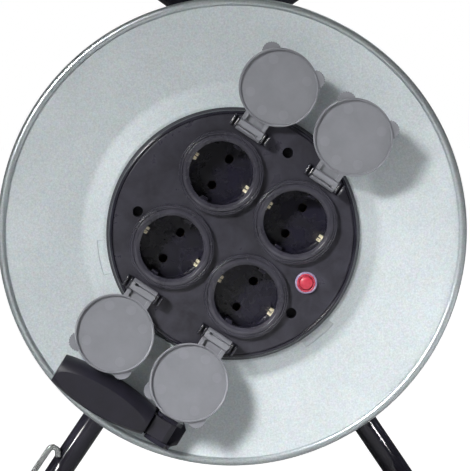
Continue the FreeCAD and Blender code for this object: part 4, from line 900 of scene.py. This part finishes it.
makeGrip()
refined("crank_base", 0.5, glossPlastic, "drum", segments=3)
refined("crank_knuckle", 0.6, gripPlastic, "crank_arm", segments=3)
refined("crank_pin", 0.3, glossPlastic, "drum")
refined("crank_spindle", 0.3, brightZinc, "crank_arm")
print("crank ready")


# Stand

standSizes = {
    "tube": 8.25, "legAngle": 34, "neckHalf": 24, "neckTop": 140, "handleHalf": 66,
    "shoulderRise": 30, "shoulderReach": 12, "handleRise": 65, "handleReach": 58,
    "footDrop": 190.7, "footFront": 35, "bends": (35, 60, 30, 30, 24),
}


def makeStandTube():
    s = standSizes
    spreadOut = s["footDrop"] * math.tan(math.radians(s["legAngle"]))
    neckStart = s["neckHalf"] / math.tan(math.radians(s["legAngle"]))
    half = [
        (spreadOut, -s["footDrop"], s["footFront"]),
        (spreadOut, -s["footDrop"], -standPlane),
        (s["neckHalf"], -neckStart, -standPlane),
        (s["neckHalf"], s["neckTop"], -standPlane),
        (s["handleHalf"], s["neckTop"] + s["shoulderRise"], -standPlane + s["shoulderReach"]),
        (s["handleHalf"], s["neckTop"] + s["handleRise"], -standPlane + s["handleReach"]),
    ]
    corners = half + [(-x, y, z) for x, y, z in reversed(half)]
    tube = bentBar("standTube", corners, [*s["bends"], *reversed(s["bends"])], s["tube"], 48)
    softEdges(tube, 0.5, 2, 60)
    smooth(tube)
    return finish(tube, standPlace, "stand", powderCoat, "stand_tube")


makeStandTube()
refined("cable_hook", 0, brightZinc, "stand", smoothing=75)
refined("hub_plate", 0.4, powderCoat, "stand")
refined("axle", 0.4, brightZinc, "stand")
refined("axle_nut", 0.3, brightZinc, "stand")
refined("carry_grip", 0.6, rubber, "stand", segments=3)
refined("front_foot_caps", 0.8, rubber, "stand", segments=3)
refined("rear_foot_sleeves", 0.5, rubber, "stand", segments=3)
refined("hub_bush", 0.4, glossPlastic, "drum")
refined("cable_grommet", 0.4, rubber, "drum")
refined("housing_cover", 0.5, housingPlastic, "drum")
# the screw heads carry the painted shade of their recesses
refined("housing_screws", 0.2, shadedScrewSteel, "drum")
refined("earth_contacts", 0.12, nickelBrass, "drum", angle=20, segments=2, smoothing=50)
print("stand and small pieces ready")

# the live contacts take the dark brass of painted shade
nodeFinishes = {
    "live_contacts_a": shadedBrass, "live_contacts_b": shadedBrass, "terminal_block": ceramicWhite,
    "thermal_switch": glossPlastic,
}
for node, material in nodeFinishes.items():
    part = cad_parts[node]
    for slot in part.material_slots:
        slot.material = material


# Floor, light and camera

def makeStage():
    deselectAll()
    bpy.ops.mesh.primitive_plane_add(size=1)
    floor = named("paleFloor")
    bpy.ops.object.mode_set(mode="EDIT")
    bpy.ops.mesh.select_all(action="SELECT")
    bpy.ops.transform.resize(value=(14, 14, 1))
    bpy.ops.mesh.subdivide(number_cuts=2)
    bpy.ops.object.mode_set(mode="OBJECT")
    material, tree, shader, spot = blankMaterial("paleFloorPaper")
    cloud = addNode(tree, "ShaderNodeTexNoise", {"Vector": spot, "Scale": 3.0, "Detail": 2.0})
    tree.links.new(ramp(tree, cloud.outputs["Fac"], [(0.3, "#9c9c9c"), (0.7, "#a2a2a2")]),
                   shader.inputs["Base Color"])
    shader.inputs["Roughness"].default_value = 0.9
    # the paper fades into the white behind it
    away = addNode(tree, "ShaderNodeVectorMath", {0: spot}, operation="LENGTH").outputs["Value"]
    glow = addNode(tree, "ShaderNodeMapRange", {
        "Value": away, "From Min": 0.4, "From Max": 2.5, "To Min": 0.94, "To Max": 1.0})
    seen = addNode(tree, "ShaderNodeLightPath").outputs["Is Camera Ray"]
    shown = addNode(tree, "ShaderNodeMath", {0: glow.outputs["Result"], 1: seen},
                    operation="MULTIPLY")
    shader.inputs["Emission Color"].default_value = (1, 1, 1, 1)
    tree.links.new(shown.outputs["Value"], shader.inputs["Emission Strength"])
    floor.data.materials.append(material)


# place from the drum's middle, point it is aimed at, width, watts, beam in degrees, tint
lightSizes = {
    "key": ((-1.7, -2.5, 1.29), (0.58, 0, -0.93), 1.15, 15.9, 26, "#fefefd"),
    "lowRight": ((0.5, -0.17, -0.13), (0.05, 0, -0.08), 0.3, 2.1, 180, "#ffffff"),
    "top": ((0.1, -0.2, 1.5), (0, 0, 0), 0.9, 0.2, 180, "#ffffff"),
    "back": ((0.9, 1.8, 1.4), (0, 0, 0), 1.2, 12, 180, "#ffffff"),
    "legLeft": ((-0.25, -0.02, -0.08), (-0.102, 0.11, -0.148), 0.012, 0.0009, 9, "#ffffff"),
    "legRight": ((0.24, -0.03, -0.09), (0.1, 0.11, -0.141), 0.012, 0.0005, 10, "#ffffff"),
}


def makeLights():
    middle = Vector((0, frontPlane * mm, axisHeight * mm))
    for name, (offset, aim, size, power, beam, tint) in lightSizes.items():
        spot = middle + Vector(offset)
        deselectAll()
        bpy.ops.object.light_add(type="AREA", location=spot)
        lamp = bpy.context.object
        lamp.name = name + "Light"
        lamp.rotation_euler = (middle + Vector(aim) - spot).to_track_quat("-Z", "Y").to_euler()
        lamp.data.shape = "DISK"
        lamp.data.size = size
        lamp.data.energy = power
        lamp.data.spread = math.radians(beam)
        lamp.data.color = linearColour(tint)[:3]
        lamp.visible_camera = False
        lamp.visible_glossy = name != "lowRight"  # fills without a mirror image
    world = bpy.data.worlds.new("studio")
    bpy.context.scene.world = world
    world.use_nodes = True
    tree = world.node_tree
    # paper-white to the eye, and only a low fill on the object
    sky = tree.nodes["Background"]
    seen = addNode(tree, "ShaderNodeLightPath").outputs["Is Camera Ray"]
    strength = addNode(tree, "ShaderNodeMapRange", {"Value": seen, "To Min": 0.03, "To Max": 1.0})
    sky.inputs["Color"].default_value = (1, 1, 1, 1)
    tree.links.new(strength.outputs["Result"], sky.inputs["Strength"])


cameraSizes = {"distance": 1.5, "pitch": 4, "yaw": 1.5, "lens": 185.8, "aim": (0.00139, -0.00158)}


def makeCamera():
    s = cameraSizes
    middle = Vector((0, frontPlane * mm, axisHeight * mm))
    pitch, yaw = math.radians(s["pitch"]), math.radians(s["yaw"])
    back = Vector((-math.sin(yaw) * math.cos(pitch), -math.cos(yaw) * math.cos(pitch),
                   math.sin(pitch)))
    spot = middle + back * s["distance"]
    aim = middle + Vector((s["aim"][0], 0, s["aim"][1]))
    deselectAll()
    turn = (aim - spot).to_track_quat("-Z", "Y").to_euler()
    bpy.ops.object.camera_add(location=spot, rotation=turn)
    camera = bpy.context.object
    camera.data.lens = s["lens"]
    camera.data.sensor_width = 36
    camera.data.clip_start = 0.05
    bpy.context.scene.camera = camera


makeStage()
makeLights()
makeCamera()
bpy.context.scene.view_settings.view_transform = "Standard"
print("stage, lights and camera ready")
